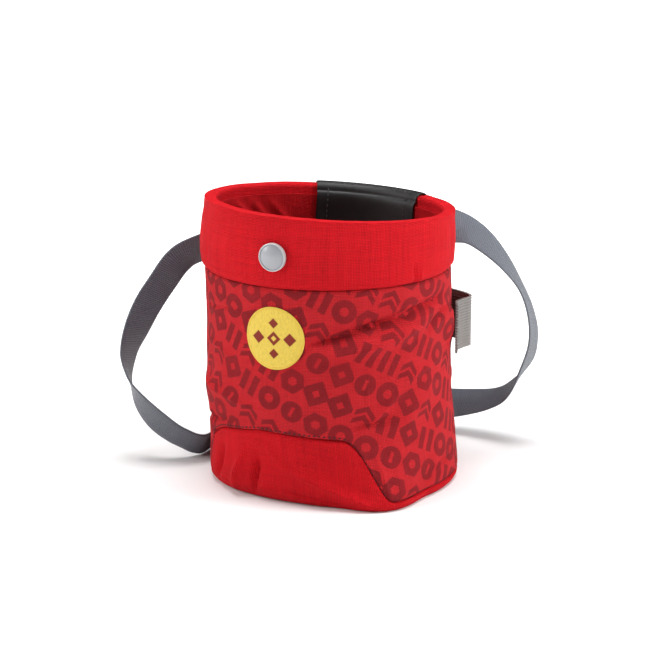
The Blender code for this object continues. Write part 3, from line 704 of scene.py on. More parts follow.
def strap(centres, acrosses, profile):
    """A strap along its middle line. The profile gives points (across, out) for each place along it."""
    last = len(centres) - 1
    ring = []
    for index, (centre, across) in enumerate(zip(centres, acrosses)):
        forward = (centres[min(index + 1, last)] - centres[max(index - 1, 0)]).normalized()
        across = (across - forward * across.dot(forward)).normalized()
        face = forward.cross(across)
        ring.append([(centre + across * x + face * y, x) for x, y in profile(index)])
    lengths = [length for _, length in measured(centres)]
    rows = len(ring[0])

    def spot(column, row):
        point, x = ring[column][row % rows]
        return point, (x, lengths[column])

    bm = woven_grid(last, rows, spot)
    close_ends(bm)
    return bm


def add_stitch(bm, start, end, out, width):
    """One stitch of thread: a small rounded bar that dips into the cloth at both ends."""
    along = end - start
    turned = Matrix.Identity(3)
    turned.col[0] = along.normalized()
    turned.col[2] = (out - along.normalized() * out.dot(along.normalized())).normalized()
    turned.col[1] = turned.col[2].cross(turned.col[0])
    matrix = Matrix.Translation(0.5 * (start + end)) @ turned.to_4x4()
    matrix = matrix @ Matrix.Diagonal((0.5 * along.length, 0.5 * width, 0.45 * width, 1.0))
    bmesh.ops.create_uvsphere(bm, u_segments=STITCH_SIDES, v_segments=6, radius=1.0, matrix=matrix)


def stitch_row(bm, line, length, space, width, side):
    """Stitches along a line on the cloth: side 1 faces away from the bag's middle axis, -1 towards it."""
    dense = even_line(line, 0.25 * (length + space))
    for index in range(0, len(dense) - 4, 4):
        start = dense[index]
        end = start.lerp(dense[index + 4], length / (length + space))
        out = Vector((start.x, start.y, 0.0)).normalized() * side
        add_stitch(bm, start, end, out, width)


# The finishes

class Finish:
    """The nodes of one surface, added step by step. A length is in metres on the cloth's own map."""

    def __init__(self, name, roughness, sheen=0.0, sheen_roughness=0.5, coat=0.0, metallic=0.0, specular=0.5):
        self.material = bpy.data.materials.new(name)
        self.material.use_nodes = True
        self.nodes = self.material.node_tree.nodes
        self.links = self.material.node_tree.links
        self.shader = self.nodes["Principled BSDF"]
        self.shader.inputs["Roughness"].default_value = roughness
        self.shader.inputs["Metallic"].default_value = metallic
        self.shader.inputs["Sheen Weight"].default_value = sheen
        self.shader.inputs["Sheen Roughness"].default_value = sheen_roughness
        self.shader.inputs["Coat Weight"].default_value = coat
        self.shader.inputs["Specular IOR Level"].default_value = specular

    def put(self, socket, value):
        """Links a socket, or sets a constant."""
        if isinstance(value, bpy.types.NodeSocket):
            self.links.new(value, socket)
        else:
            socket.default_value = value

    def maths(self, operation, *values):
        """One sum on numbers."""
        node = self.nodes.new("ShaderNodeMath")
        node.operation = operation
        for socket, value in zip(node.inputs, values):
            self.put(socket, value)
        return node.outputs["Value"]

    def total(self, *values):
        """Several numbers added up."""
        result = values[0]
        for value in values[1:]:
            result = self.maths("ADD", result, value)
        return result

    def times(self, first, second):
        """One number times another."""
        return self.maths("MULTIPLY", first, second)

    def divided(self, first, second):
        """One number divided by another."""
        return self.maths("DIVIDE", first, second)

    def minus(self, first, second):
        """One number less another."""
        return self.maths("SUBTRACT", first, second)

    def unsigned(self, value):
        """A number without its sign."""
        return self.maths("ABSOLUTE", value)

    def larger(self, first, second):
        """The larger of two numbers."""
        return self.maths("MAXIMUM", first, second)

    def smaller(self, first, second):
        """The smaller of two numbers."""
        return self.maths("MINIMUM", first, second)

    def weighted(self, *pairs):
        """Several numbers added up, each times its weight."""
        return self.total(*[self.times(value, weight) for value, weight in pairs])

    def distance(self, x, y):
        """How far a place is from the middle."""
        return self.maths("SQRT", self.weighted((x, x), (y, y)))

    def within(self, value, low, high):
        """Goes from 0 at low to 1 at high, and stays there."""
        node = self.nodes.new("ShaderNodeMapRange")
        self.put(node.inputs["Value"], value)
        node.inputs["From Min"].default_value = low
        node.inputs["From Max"].default_value = high
        return node.outputs["Result"]

    def cloth_place(self):
        """The distances across and up the cloth."""
        cloth_map = self.nodes.new("ShaderNodeUVMap")
        cloth_map.uv_map = "weave"
        split = self.nodes.new("ShaderNodeSeparateXYZ")
        self.links.new(cloth_map.outputs["UV"], split.inputs["Vector"])
        return split.outputs["X"], split.outputs["Y"]

    def object_place(self):
        """The place in the bag's own space."""
        return self.nodes.new("ShaderNodeTexCoord").outputs["Object"]

    def point(self, x, y, z=0.0):
        """A place made of three numbers."""
        node = self.nodes.new("ShaderNodeCombineXYZ")
        for socket, value in zip(node.inputs, (x, y, z)):
            self.put(socket, value)
        return node.outputs["Vector"]

    def cloud(self, vector, scale, detail=2.0):
        """Soft uneven spots between 0 and 1."""
        node = self.nodes.new("ShaderNodeTexNoise")
        node.inputs["Scale"].default_value = scale
        node.inputs["Detail"].default_value = detail
        self.links.new(vector, node.inputs["Vector"])
        return node.outputs["Fac"]

    def blend(self, share, low, high):
        """A number or colour between two."""
        node = self.nodes.new("ShaderNodeMix")
        colour = isinstance(low, tuple) or getattr(low, "type", "") == "RGBA"
        node.data_type = "RGBA" if colour else "FLOAT"
        sockets = [socket for socket in node.inputs if socket.enabled]
        self.put(sockets[0], share)
        self.put(sockets[1], low)
        self.put(sockets[2], high)
        return next(socket for socket in node.outputs if socket.enabled)

    def swing(self, distance, pitch):
        """Goes up and down past 0 once in every two pitches."""
        return self.maths("SINE", self.times(distance, math.pi / pitch))

    def wave(self, distance, pitch):
        """The rounded backs of threads that lie side by side."""
        return self.unsigned(self.swing(distance, pitch))

    def weave(self, u, v, pitch):
        """A plain weave: threads that pass over and under each other."""
        side = self.swing(u, pitch)
        up = self.swing(v, pitch)
        over = self.within(self.times(side, up), -0.25, 0.25)
        return self.blend(over, self.unsigned(side), self.unsigned(up))

    def streaks(self, u, v, fine, long):
        """Thicker and thinner threads, as thin lines that run along v."""
        return self.cloud(self.point(self.divided(u, fine), self.divided(v, long)), 1.0, 1.0)

    def emboss(self, height, depth, strength=1.0):
        """Raises the surface by a number between 0 and 1."""
        node = self.nodes.new("ShaderNodeBump")
        node.inputs["Distance"].default_value = depth
        node.inputs["Strength"].default_value = strength
        self.links.new(height, node.inputs["Height"])
        self.links.new(node.outputs["Normal"], self.shader.inputs["Normal"])

    def paint(self, colour):
        """Sets the surface's colour."""
        self.put(self.shader.inputs["Base Color"], colour)
        return self.material


# The print: plain bold shapes in slanting rows, every other row moved along by half a cell
PRINT_TURN = -27.0
PRINT_CELL = 14.0 * MM
PRINT_ROW = 15.4 * MM
PRINT_DOT = 0.95 * MM

# The print's shapes in millimetres: how far out the middle of a stroke lies, and half its width
RING_STROKE = (4.5, 2.0)
NUT_STROKE = (4.2, 1.9)
DIAMOND_STROKE = (5.2, 2.8)
DIAMOND_SLANT = 0.72
BAR_STROKE = (3.4, 1.95)
BAR_REACH = 6.0
CHEVRON_STROKES = ((4.2, 1.6), (-0.8, 1.6))
CHEVRON_SLOPE = 0.75
CHEVRON_REACH = 5.4
DISC_RADIUS = 5.9
SLOT_HALF_WIDTH = 1.0
SLOT_HALF_HEIGHT = 3.0

# The badge's motif in millimetres: how far out each diamond lies, and how far it reaches
MotifDiamond = namedtuple("MotifDiamond", "side up reach")
MOTIF_MIDDLE = MotifDiamond(0.0, 0.0, 3.9)
MOTIF_SIDES = MotifDiamond(9.0, 0.0, 3.6)
MOTIF_ENDS = MotifDiamond(0.0, 8.2, 2.8)
MOTIF_HOLE = 1.6

# Colours, and the share of a colour that its darker threads keep, which also paints the shade between
# threads, ribs and stitches
PRINT_RED = (0.58, 0.018, 0.024, 1.0)
PRINT_DARK = (0.150, 0.009, 0.013, 1.0)
PLAIN_RED = (0.68, 0.006, 0.013, 1.0)
# the lining's red is darker than the plain red of the same cloth, painting the shade inside the mouth
LINING_RED_IN_SHADE = (0.46, 0.003, 0.007, 1.0)
THREAD_RED = (0.060, 0.005, 0.008, 1.0)
PATCH_BLACK = (0.0060, 0.0054, 0.0058, 1.0)
THREAD_BLACK = (0.034, 0.032, 0.034, 1.0)
STRAP_GREY = (0.080, 0.090, 0.116, 1.0)
ELASTIC_GREY = (0.19, 0.170, 0.158, 1.0)
BUCKLE_GREY = (0.028, 0.028, 0.032, 1.0)
ENAMEL_GREY = (0.275, 0.28, 0.30, 1.0)
ENAMEL_RIM = (0.40, 0.395, 0.40, 1.0)
BADGE_YELLOW = (0.79, 0.57, 0.083, 1.0)
BADGE_RED = (0.24, 0.020, 0.008, 1.0)
# the edge thread's yellow is darker than the field's, painting the shade along the badge's edge
BADGE_EDGE_IN_SHADE = (0.60, 0.40, 0.055, 1.0)
PRINT_SHADE = 0.56
PLAIN_SHADE = 0.48
LINING_SHADE = 0.60
STRAP_SHADE = 0.40
ELASTIC_SHADE = 0.30
YELLOW_SHADE = 0.52
RED_SHADE = 0.6

# The weave: its threads, the thicker ones at even distances, and how far they stand out
THREAD_PITCH = 0.80 * MM
RIPSTOP_PITCH = 5.2 * MM
PLAIN_RIPSTOP = 0.25
FINE_RIPSTOP = 0.2
CLOTH_RELIEF = 0.44 * MM
PRINT_RELIEF = 0.38 * MM


def shaded(colour, share):
    """A darker or lighter share of a colour."""
    return tuple(part * share for part in colour[:3]) + (1.0,)


def cloth_colour(finish, u, v, colour, dark_threads_and_shade):
    """Thread by thread differences in a dyed cloth, with painted light on the backs of the woven threads and
    painted shade between them.
    """
    warp = finish.streaks(u, v, 0.8 * MM, 40.0 * MM)
    weft = finish.streaks(v, u, 0.8 * MM, 30.0 * MM)
    patchy = finish.cloud(finish.object_place(), 28.0, 3.0)
    # the weave's share paints light on the threads' backs and shade between them; the streaks and spots are
    # the dye's own unevenness
    threads = finish.weave(u, v, THREAD_PITCH)
    share = finish.weighted((warp, 0.55), (weft, 0.45), (patchy, 0.20), (threads, 0.85))
    return finish.blend(finish.within(share, 0.65, 1.42), dark_threads_and_shade, colour)


def cloth_relief(finish, u, v, ripstop):
    """The height of a plain weave with thicker threads at even distances and uneven ones between."""
    threads = finish.weave(u, v, THREAD_PITCH)
    warp = finish.streaks(u, v, 0.5 * MM, 26.0 * MM)
    weft = finish.streaks(v, u, 0.5 * MM, 22.0 * MM)
    slub = finish.weighted((warp, 0.9), (weft, 0.7))
    rips = [finish.within(finish.wave(distance, RIPSTOP_PITCH), 0.16, 0.0) for distance in (u, v)]
    return finish.total(finish.times(threads, 0.90), slub, finish.times(finish.larger(*rips), ripstop))


def plain_cloth(name, colour, shade, ripstop=PLAIN_RIPSTOP):
    """Dyed woven cloth."""
    finish = Finish(name, 0.85, specular=0.12)
    u, v = finish.cloth_place()
    finish.emboss(cloth_relief(finish, u, v, ripstop), CLOTH_RELIEF)
    return finish.paint(cloth_colour(finish, u, v, colour, shaded(colour, shade)))


def print_shape(finish, x, y, pick):
    """The signed distance to one of the print's shapes, in millimetres: below 0 inside it."""
    side = finish.unsigned(x)
    up = finish.unsigned(y)
    away = finish.distance(x, y)

    def stroke(value, middle, half):
        return finish.minus(finish.unsigned(finish.minus(value, middle)), half)

    ring = stroke(away, *RING_STROKE)
    slot = finish.larger(finish.minus(side, SLOT_HALF_WIDTH), finish.minus(up, SLOT_HALF_HEIGHT))
    disc = finish.larger(finish.minus(away, DISC_RADIUS), finish.times(slot, -1.0))
    slope = finish.total(y, finish.times(side, CHEVRON_SLOPE))
    stripes = [stroke(slope, *sizes) for sizes in CHEVRON_STROKES]
    chevron = finish.larger(finish.smaller(*stripes), finish.minus(side, CHEVRON_REACH))
    bars = finish.larger(stroke(side, *BAR_STROKE), finish.minus(up, BAR_REACH))
    diamond = finish.times(stroke(finish.total(side, up), *DIAMOND_STROKE), DIAMOND_SLANT)
    nut = stroke(finish.larger(up, finish.weighted((side, 0.87), (up, 0.5))), *NUT_STROKE)
    shape = ring
    for start, other in ((0.18, bars), (0.36, chevron), (0.54, nut), (0.70, diamond), (0.86, disc)):
        shape = finish.blend(finish.maths("GREATER_THAN", pick, start), shape, other)
    return shape


def printed_cloth(name):
    """Red woven cloth with a darker print made of fine dots."""
    finish = Finish(name, 0.83, specular=0.12)
    u, v = finish.cloth_place()
    turn = math.radians(PRINT_TURN)
    across = finish.weighted((u, math.cos(turn)), (v, math.sin(turn)))
    up = finish.weighted((v, math.cos(turn)), (u, -math.sin(turn)))
    row_place = finish.divided(up, PRINT_ROW)
    row = finish.maths("FLOOR", row_place)
    half = finish.times(finish.maths("FLOORED_MODULO", row, 2.0), 0.5)
    column_place = finish.total(finish.divided(across, PRINT_CELL), half)
    column = finish.maths("FLOOR", column_place)
    chance = finish.nodes.new("ShaderNodeTexWhiteNoise")
    chance.noise_dimensions = "2D"
    finish.links.new(finish.point(column, row), chance.inputs["Vector"])
    x = finish.times(finish.minus(finish.maths("FRACT", column_place), 0.5), PRINT_CELL / MM)
    y = finish.times(finish.minus(finish.maths("FRACT", row_place), 0.5), PRINT_ROW / MM)
    shape = print_shape(finish, x, y, chance.outputs["Value"])
    frayed = finish.total(shape, finish.times(finish.cloud(finish.point(u, v), 900.0, 1.0), 0.5))
    inked = finish.within(frayed, 0.55, 0.05)
    dots = finish.times(finish.wave(across, PRINT_DOT), finish.wave(up, PRINT_DOT))
    worn = finish.within(finish.cloud(finish.object_place(), 55.0, 3.0), 0.25, 0.65)
    strength = finish.total(0.52, finish.times(dots, 0.30), finish.times(worn, 0.14))
    ground = cloth_colour(finish, u, v, PRINT_RED, shaded(PRINT_RED, PRINT_SHADE))
    finish.emboss(cloth_relief(finish, u, v, FINE_RIPSTOP), PRINT_RELIEF)
    return finish.paint(finish.blend(finish.times(inked, strength), ground, PRINT_DARK))


def coated_cloth(name):
    """Black cloth with a smooth satin coat that has faint creases, painted lighter along them as a highlight.
    """
    finish = Finish(name, 0.48, specular=0.35)
    u, v = finish.cloth_place()
    grain = finish.weave(u, v, 0.5 * MM)
    crease_height_and_highlight = finish.cloud(finish.object_place(), 90.0, 4.0)
    finish.emboss(finish.total(finish.times(grain, 0.25), crease_height_and_highlight), 0.25 * MM, 0.6)
    # painted highlight: the black is lighter where the creases rise
    light = shaded(PATCH_BLACK, 1.7)
    return finish.paint(finish.blend(finish.within(crease_height_and_highlight, 0.35, 0.7), PATCH_BLACK, light))


def thread(name, colour, roughness=0.6):
    """Twisted sewing thread, painted lighter along its raised twist as a highlight."""
    finish = Finish(name, roughness, sheen=0.05, specular=0.2)
    twist = finish.nodes.new("ShaderNodeTexWave")
    twist.inputs["Scale"].default_value = 900.0
    twist.inputs["Distortion"].default_value = 1.5
    finish.links.new(finish.object_place(), twist.inputs["Vector"])
    finish.emboss(twist.outputs["Fac"], 0.08 * MM)
    # painted highlight: the thread is lighter where its twist stands up
    return finish.paint(finish.blend(twist.outputs["Fac"], colour, shaded(colour, 1.35)))


def ribbed_webbing(name, colour, rib, shade, along=True):
    """Woven strap: ribs across it or along it, with fine threads the other way, painted lighter on the backs
    of ribs and threads and in shade between them.
    """
    finish = Finish(name, 0.45, sheen=0.22, sheen_roughness=0.35, specular=0.6)
    across, length = finish.cloth_place()
    first, second = (length, across) if along else (across, length)
    ribs = finish.wave(first, rib)
    threads = finish.wave(second, 0.7 * MM)
    uneven = finish.streaks(second, first, 0.5 * MM, 18.0 * MM)
    patchy = finish.cloud(finish.object_place(), 40.0, 2.0)
    # painted light and shade: ribs and threads are lighter on their backs and darker between them; the
    # streaks and spots are the yarn's own unevenness
    share = finish.weighted((ribs, 0.60), (threads, 0.20), (uneven, 0.45), (patchy, 0.15))
    finish.emboss(finish.total(ribs, finish.times(threads, 0.5), finish.times(uneven, 0.4)), 0.30 * MM)
    return finish.paint(finish.blend(finish.within(share, 0.25, 0.85), shaded(colour, shade), colour))


def moulded_plastic(name):
    """Dark moulded plastic with a fine spark-eroded grain."""
    finish = Finish(name, 0.44)
    grain = finish.cloud(finish.object_place(), 1400.0, 3.0)
    wear = finish.cloud(finish.object_place(), 60.0, 3.0)
    finish.emboss(grain, 0.05 * MM, 0.6)
    light = shaded(BUCKLE_GREY, 1.5)
    return finish.paint(finish.blend(finish.within(wear, 0.4, 0.7), BUCKLE_GREY, light))


def snap_enamel(name):
    """Grey stoved enamel, paler over the rim."""
    finish = Finish(name, 0.34, coat=0.25, metallic=0.1)
    away, _ = finish.cloth_place()
    speckle = finish.cloud(finish.object_place(), 700.0, 2.0)
    finish.emboss(speckle, 0.02 * MM, 0.35)
    rim = finish.within(away, 0.88 * SNAP_RADIUS, 0.97 * SNAP_RADIUS)
    return finish.paint(finish.blend(rim, ENAMEL_GREY, ENAMEL_RIM))


def badge_motif(finish, x, y):
    """Four small diamonds round a fifth that has a hole, in millimetres: below 0 inside them."""
    side = finish.unsigned(x)
    up = finish.unsigned(y)

    def diamond(row):
        across = finish.unsigned(finish.minus(side, row.side))
        above = finish.unsigned(finish.minus(up, row.up))
        return finish.minus(finish.total(across, above), row.reach)

    hole = finish.minus(MOTIF_HOLE, finish.total(side, up))
    middle = finish.larger(diamond(MOTIF_MIDDLE), hole)
    return finish.smaller(finish.smaller(middle, diamond(MOTIF_SIDES)), diamond(MOTIF_ENDS))


def embroidery(name):
    """Satin stitch in yellow thread with a small dark red motif, each painted lighter on the stitches' backs
    and in shade between them.
    """
    finish = Finish(name, 0.55, sheen=0.05, specular=0.2)
    u, v = finish.cloth_place()
    wander = finish.times(finish.cloud(finish.point(u, v), 260.0, 2.0), 0.7 * MM)
    stitches = finish.wave(finish.total(u, wander), 0.42 * MM)
    uneven = finish.times(finish.streaks(u, v, 0.4 * MM, 5.0 * MM), 3.0 * MM)
    ends = finish.streaks(finish.total(v, uneven), u, 1.6 * MM, 1.2 * MM)
    # painted shade between the satin stitches and painted light on their backs; the uneven ends are the
    # thread's own
    share = finish.weighted((stitches, 0.6), (ends, 0.6))
    yellow = finish.blend(finish.within(share, 0.25, 0.85), shaded(BADGE_YELLOW, YELLOW_SHADE), BADGE_YELLOW)
    red = finish.blend(stitches, shaded(BADGE_RED, RED_SHADE), BADGE_RED)
    motif = finish.within(badge_motif(finish, finish.divided(u, MM), finish.divided(v, MM)), 0.25, -0.25)
    height = finish.total(stitches, finish.times(ends, 0.8), finish.times(motif, 0.8))
    finish.emboss(height, 0.16 * MM, 0.8)
    return finish.paint(finish.blend(motif, yellow, red))


# The pieces

def make_printed_body(finish):
    """The printed cloth of the body, with its folds, creases and puckered seams."""

    def section(angle):
        bottom = soft_seam_height(angle) + 0.5 * GAP
        top = BODY_HEIGHT - 0.5 * GAP
        outer = []
        for row in range(SHELL_FINE_ROWS + 1):
            height = bottom + (top - bottom) * row / SHELL_FINE_ROWS
            edge = BODY_HEM * (hill(height - bottom, BODY_HEM_REACH) + hill(top - height, BODY_HEM_REACH))
            radius = shell_inside(angle, height) + BODY_WALL + body_wrinkle(angle, height) - edge
            outer.append((place(angle, height, radius), height))
        inner = []
        for row in range(INNER_FINE_ROWS + 1):
            height = top + (bottom - top) * row / INNER_FINE_ROWS
            radius = shell_inside(angle, height) + min(body_wrinkle(angle, height), 0.0)
            inner.append((place(angle, height, radius), 2.0 * top - height))
        return outer + inner + [(outer[0][0], 2.0 * top - bottom)]

    return add_piece("printed_body", ring_cloth(section), finish, "printed_cloth", "shell")


def make_base(finish):
    """The plain base: flat underside, rounded edge, low band and the tongue up the front."""

    def section(angle):
        top = soft_seam_height(angle) - 0.5 * GAP
        foot = shell_inside(angle, 0.0) + BODY_WALL
        line = [place(angle, 0.0, foot * share) for share in (0.0, 0.25, 0.5, 0.7, 0.85, 0.95)]
        for row in range(BASE_ROWS + 1):
            height = top * (row / BASE_ROWS) ** BASE_ROW_POWER
            edge = BASE_HEM * hill(top - height, BASE_HEM_REACH)
            radius = shell_inside(angle, height) + BODY_WALL + base_wrinkle(angle, height) - edge
            line.append(place(angle, height, radius))
        for row in range(BASE_INNER_ROWS + 1):
            height = top + (FLOOR_WALL - top) * row / BASE_INNER_ROWS
            radius = shell_inside(angle, height) + min(base_wrinkle(angle, height), 0.0)
            line.append(place(angle, height, radius))
        inside = shell_inside(angle, FLOOR_WALL)
        line += [place(angle, FLOOR_WALL, inside * share) for share in (0.9, 0.6, 0.3, 0.0)]
        return measured(line)

    return add_piece("plain_base", ring_cloth(section), finish, "plain_cloth", "base")


# The lining's floor: the shares of the way out at which it has its rings, and how far it puffs up
LINING_FLOOR_SHARES = (0.92, 0.8, 0.65, 0.5, 0.35, 0.2, 0.1, 0.0)
LINING_FLOOR_SWELL = 0.8 * MM
LINING_FLOOR_WAVE = 14.0 * MM


def make_lining(finish):
    """The inner cloth and its floor, creased where it hangs free."""

    def section(angle):
        floor = FLOOR_WALL + LINING_SLACK
        top = rim_height(angle) - LINING_BELOW_RIM
        outer_foot = lining_outside(angle, floor)
        line = [place(angle, floor, outer_foot * share) for share in (0.0, 0.5)]
        heights = [floor + (top - floor) * row / LINING_ROWS for row in range(LINING_ROWS + 1)]
        for height in heights:
            sag = lining_sag(angle, height)
            line.append(place(angle, height, lining_outside(angle, height) - sag))
        for height in reversed(heights):
            height = max(height, floor + LINING_WALL)
            sag = lining_sag(angle, height)
            line.append(place(angle, height, lining_inside(angle, height) - sag))
        inner_foot = lining_inside(angle, floor + LINING_WALL)
        for share in LINING_FLOOR_SHARES:
            uneven = 1.0 + ripple(angle, share * 0.05, LINING_FLOOR_WAVE, 53.0)
            swell = LINING_FLOOR_SWELL * share * uneven * hill(share - 0.55, 0.45)
            line.append(place(angle, floor + LINING_WALL + swell, inner_foot * share))
        return measured(line)

    return add_piece("lining_cloth", ring_cloth(section), finish, "lining_cloth", "lining")


COLLAR_ROLL_STEPS = 22
COLLAR_ROLL_POWER = 0.50
COLLAR_SIDE_ROWS = 26
COLLAR_INNER_ROWS = 8
COLLAR_SWELL_POWER = 0.7
COLLAR_SOFT_START = 0.15

# The folded lip: how far its two corners stand out and its middle dips, and where they lie, as shares
# of the way over the roll
LIP_CREASE = 0.45 * MM
LIP_OUTER_CORNER = 0.25
LIP_INNER_CORNER = 0.75
LIP_INNER_WEIGHT = 0.6
LIP_CORNER_REACH = 0.10
LIP_DIP_REACH = 0.28


def roll_points(angle, extra, steps=COLLAR_ROLL_STEPS, power=COLLAR_ROLL_POWER):
    """The rounded top of the collar from outside to inside, that much bigger than the pad."""
    top = rim_height(angle)
    half = 0.5 * COLLAR_PAD
    middle = collar_outside(angle, top) - half
    points = []
    for step in range(steps + 1):
        turn = math.pi * step / steps
        across = math.copysign(abs(math.cos(turn)) ** power, math.cos(turn))
        height = top - half + (half + extra) * math.sin(turn) ** power
        points.append((middle + (half + extra) * across, height))
    return points


def make_collar(finish):
    """The padded band round the mouth, with its folded top and puckered lower seam."""

    def section(angle):
        bottom = BODY_HEIGHT + 0.5 * GAP
        roll = roll_points(angle, 0.0)
        shoulder = roll[0][1]
        outer = []
        for row in range(COLLAR_SIDE_ROWS + 1):
            share = row / COLLAR_SIDE_ROWS
            height = bottom + (shoulder - bottom) * share
            swell = COLLAR_BULGE * math.sin(math.pi * min(share * 1.1, 1.0)) ** COLLAR_SWELL_POWER
            tuck = COLLAR_EDGE * hill(height - bottom, COLLAR_TUCK_REACH)
            crease = fold_sum(COLLAR_CREASES, crest, angle, height)
            pucker = pucker_lift(COLLAR_PUCKER, angle, height - bottom)
            soft = ripple_sum(COLLAR_RIPPLES, angle, height) * ease(share / COLLAR_SOFT_START)
            outer.append((collar_outside(angle, height) + swell - tuck + crease + pucker + soft, height))
        top = []
        for index, (radius, height) in enumerate(roll):
            along = index / COLLAR_ROLL_STEPS
            lift = ripple_sum(ROLL_RIPPLES, angle, 0.0) * math.sin(math.pi * along)
            corner = hill(along - LIP_OUTER_CORNER, LIP_CORNER_REACH)
            corner += LIP_INNER_WEIGHT * hill(along - LIP_INNER_CORNER, LIP_CORNER_REACH)
            dip = hill(along - 0.5, LIP_DIP_REACH)
            top.append((radius + LIP_CREASE * corner, height + lift + LIP_CREASE * (corner - dip)))
        inner = []
        for row in range(COLLAR_INNER_ROWS + 1):
            height = shoulder + (bottom - shoulder) * row / COLLAR_INNER_ROWS
            tuck = COLLAR_EDGE * hill(height - bottom, COLLAR_TUCK_REACH)
            inner.append((collar_inside(angle, height) + tuck, height))
        points = [place(angle, height, radius) for radius, height in outer[:-1] + top[1:-1] + inner]
        return measured(points + [points[0]])

    collar = add_piece("padded_collar", ring_cloth(section), finish, "plain_cloth", "collar")
    return collar


PATCH_ROLL_STEPS = 8
PATCH_ROLL_POWER = 0.9


def tunnel_height():
    """The middle height of the belt in its tunnel."""
    return BODY_HEIGHT + 0.5 * GAP + TUNNEL_RISE


def tunnel_seat(angle):
    """The furthest that the collar stands out behind the belt."""
    heights = [BODY_HEIGHT + BELT_WIDTH * share for share in (0.0, 0.25, 0.5, 0.75, 1.0)]
    return max(collar_outside(angle, height) for height in heights) + COLLAR_BULGE


def belt_height(rise):
    """The height of the belt's middle line, from its run along the floor to its tunnel."""
    low = 0.5 * BELT_WIDTH + BUCKLE_CLEARANCE + BUCKLE_WALL + BUCKLE_FLOOR_GAP
    return low + (tunnel_height() - low) * rise


def patch_line(angle):
    """The patch's middle from the foot of its outer flap, over the rim, to the foot of its inner leaf."""
    half = 0.5 * PATCH_WALL
    out = PATCH_GAP + half
    tunnel = tunnel_seat(angle) + 2.0 * TUNNEL_ROOM + BELT_THICKNESS + half
    rim = rim_height(angle)
    belt_top = belt_height(1.01) + 0.5 * BELT_WIDTH + BELT_SIDE_ROOM
    belt_top = min(belt_top, rim - 0.5 * COLLAR_PAD - PATCH_TOP_LAND)
    belt_bottom = belt_height(0.99) - 0.5 * BELT_WIDTH - BELT_SIDE_ROOM
    foot = min(rim - PATCH_OUTSIDE_DEPTH, belt_bottom - 2.0 * PATCH_STEP)
    sewn_top = belt_bottom - PATCH_STEP

    def sewn(height):
        return shell_inside(angle, height) + BODY_WALL + out

    flap = [(sewn(height), height) for height in (foot, 0.5 * (foot + sewn_top), sewn_top)]
    flap += [(tunnel, height) for height in (belt_bottom, 0.5 * (belt_bottom + belt_top), belt_top)]
    roll = roll_points(angle, out, PATCH_ROLL_STEPS, PATCH_ROLL_POWER)
    inner_foot = max(rim - PATCH_INSIDE_DEPTH, lining_step_end())
    leaf_heights = (rim - LINING_BELOW_RIM, collar_middle(angle), inner_foot)
    leaf = [(lining_inside(angle, height) - out, height) for height in leaf_heights]
    return [Vector((radius, height)) for radius, height in flap + roll + leaf]


# How far across and along the patch each of its stitched rows starts and ends, as shares
StitchRun = namedtuple("StitchRun", "start_share end_share start_along end_along")
PATCH_RUNS = (
    StitchRun(0.10, 0.42, 0.655, 0.655),
    StitchRun(0.52, 0.90, 0.655, 0.655),
    StitchRun(0.10, 0.42, 0.675, 0.675),
    StitchRun(0.12, 0.12, 0.68, 0.97),
    StitchRun(0.90, 0.90, 0.68, 0.97),
    StitchRun(0.05, 0.95, 0.035, 0.035),
    StitchRun(0.05, 0.95, 0.115, 0.115),
    StitchRun(0.05, 0.95, 0.47, 0.47),
    StitchRun(0.04, 0.04, 0.035, 0.47),
    StitchRun(0.96, 0.96, 0.035, 0.47),
)
PATCH_RUN_STEPS = 40
PATCH_INNER_START = 0.5
PATCH_EDGE_SHARE = 0.018
PATCH_EDGE_THINNING = 0.55
PATCH_COLUMNS = 72
PATCH_LINE_STEPS = 110
PATCH_STITCH = 2.3 * MM
PATCH_STITCH_SPACE = 0.9 * MM
PATCH_THREAD = 0.8 * MM


def patch_angle(share):
    """The angle across the patch, 0 at its right edge as photographed and 1 at its left."""
    return PATCH_START_ANGLE + (PATCH_END_ANGLE - PATCH_START_ANGLE) * share


def patch_curve(angle):
    """The patch's middle as a smooth line."""
    return smooth_line(patch_line(angle), PATCH_LINE_STEPS)


def patch_face(angle, share):
    """A point on the patch's outer face that far along its line."""
    line = patch_curve(angle)
    spot = share * (len(line) - 1)
    index = min(int(spot), len(line) - 2)
    point = line[index].lerp(line[index + 1], spot - index)
    forward = (line[index + 1] - line[index]).normalized()
    point = point + Vector((forward.y, -forward.x)) * 0.5 * PATCH_WALL
    return place(angle, point.y, point.x)


def make_rear_patch(finish):
    """The black cloth folded over the back rim, whose outer flap holds the belt."""

    def section(share):
        angle = patch_angle(share)
        line = patch_curve(angle)
        edges = hill(share, PATCH_EDGE_SHARE) + hill(1.0 - share, PATCH_EDGE_SHARE)
        thin = 1.0 - PATCH_EDGE_THINNING * edges
        outer = []
        inner = []
        last = len(line) - 1
        for index, point in enumerate(line):
            forward = (line[min(index + 1, last)] - line[max(index - 1, 0)]).normalized()
            side = Vector((forward.y, -forward.x)) * 0.5 * PATCH_WALL * thin
            along = index / last
            wave = ripple_sum([PATCH_RIPPLE], angle, along * 0.08) * hill(along - 0.5, 0.5)
            shift = Vector((abs(wave), 0.0)) if along < 0.45 else Vector((-abs(wave), 0.0))
            outer.append(point + side + shift)
            inner.append(point - side + shift)
        ring = outer + list(reversed(inner))
        return measured([place(angle, point.y, point.x) for point in ring + ring[:1]])

    sections = [section(column / PATCH_COLUMNS) for column in range(PATCH_COLUMNS + 1)]
    width = math.radians(PATCH_END_ANGLE - PATCH_START_ANGLE) * BODY_RADIUS

    def spot(column, row):
        point, up = sections[column][row]
        return point, (width * column / PATCH_COLUMNS, up)

    bm = woven_grid(PATCH_COLUMNS, len(sections[0]) - 1, spot)
    close_ends(bm)
    return add_piece("rear_patch_cloth", bm, finish, "black_cloth", "rear_patch")


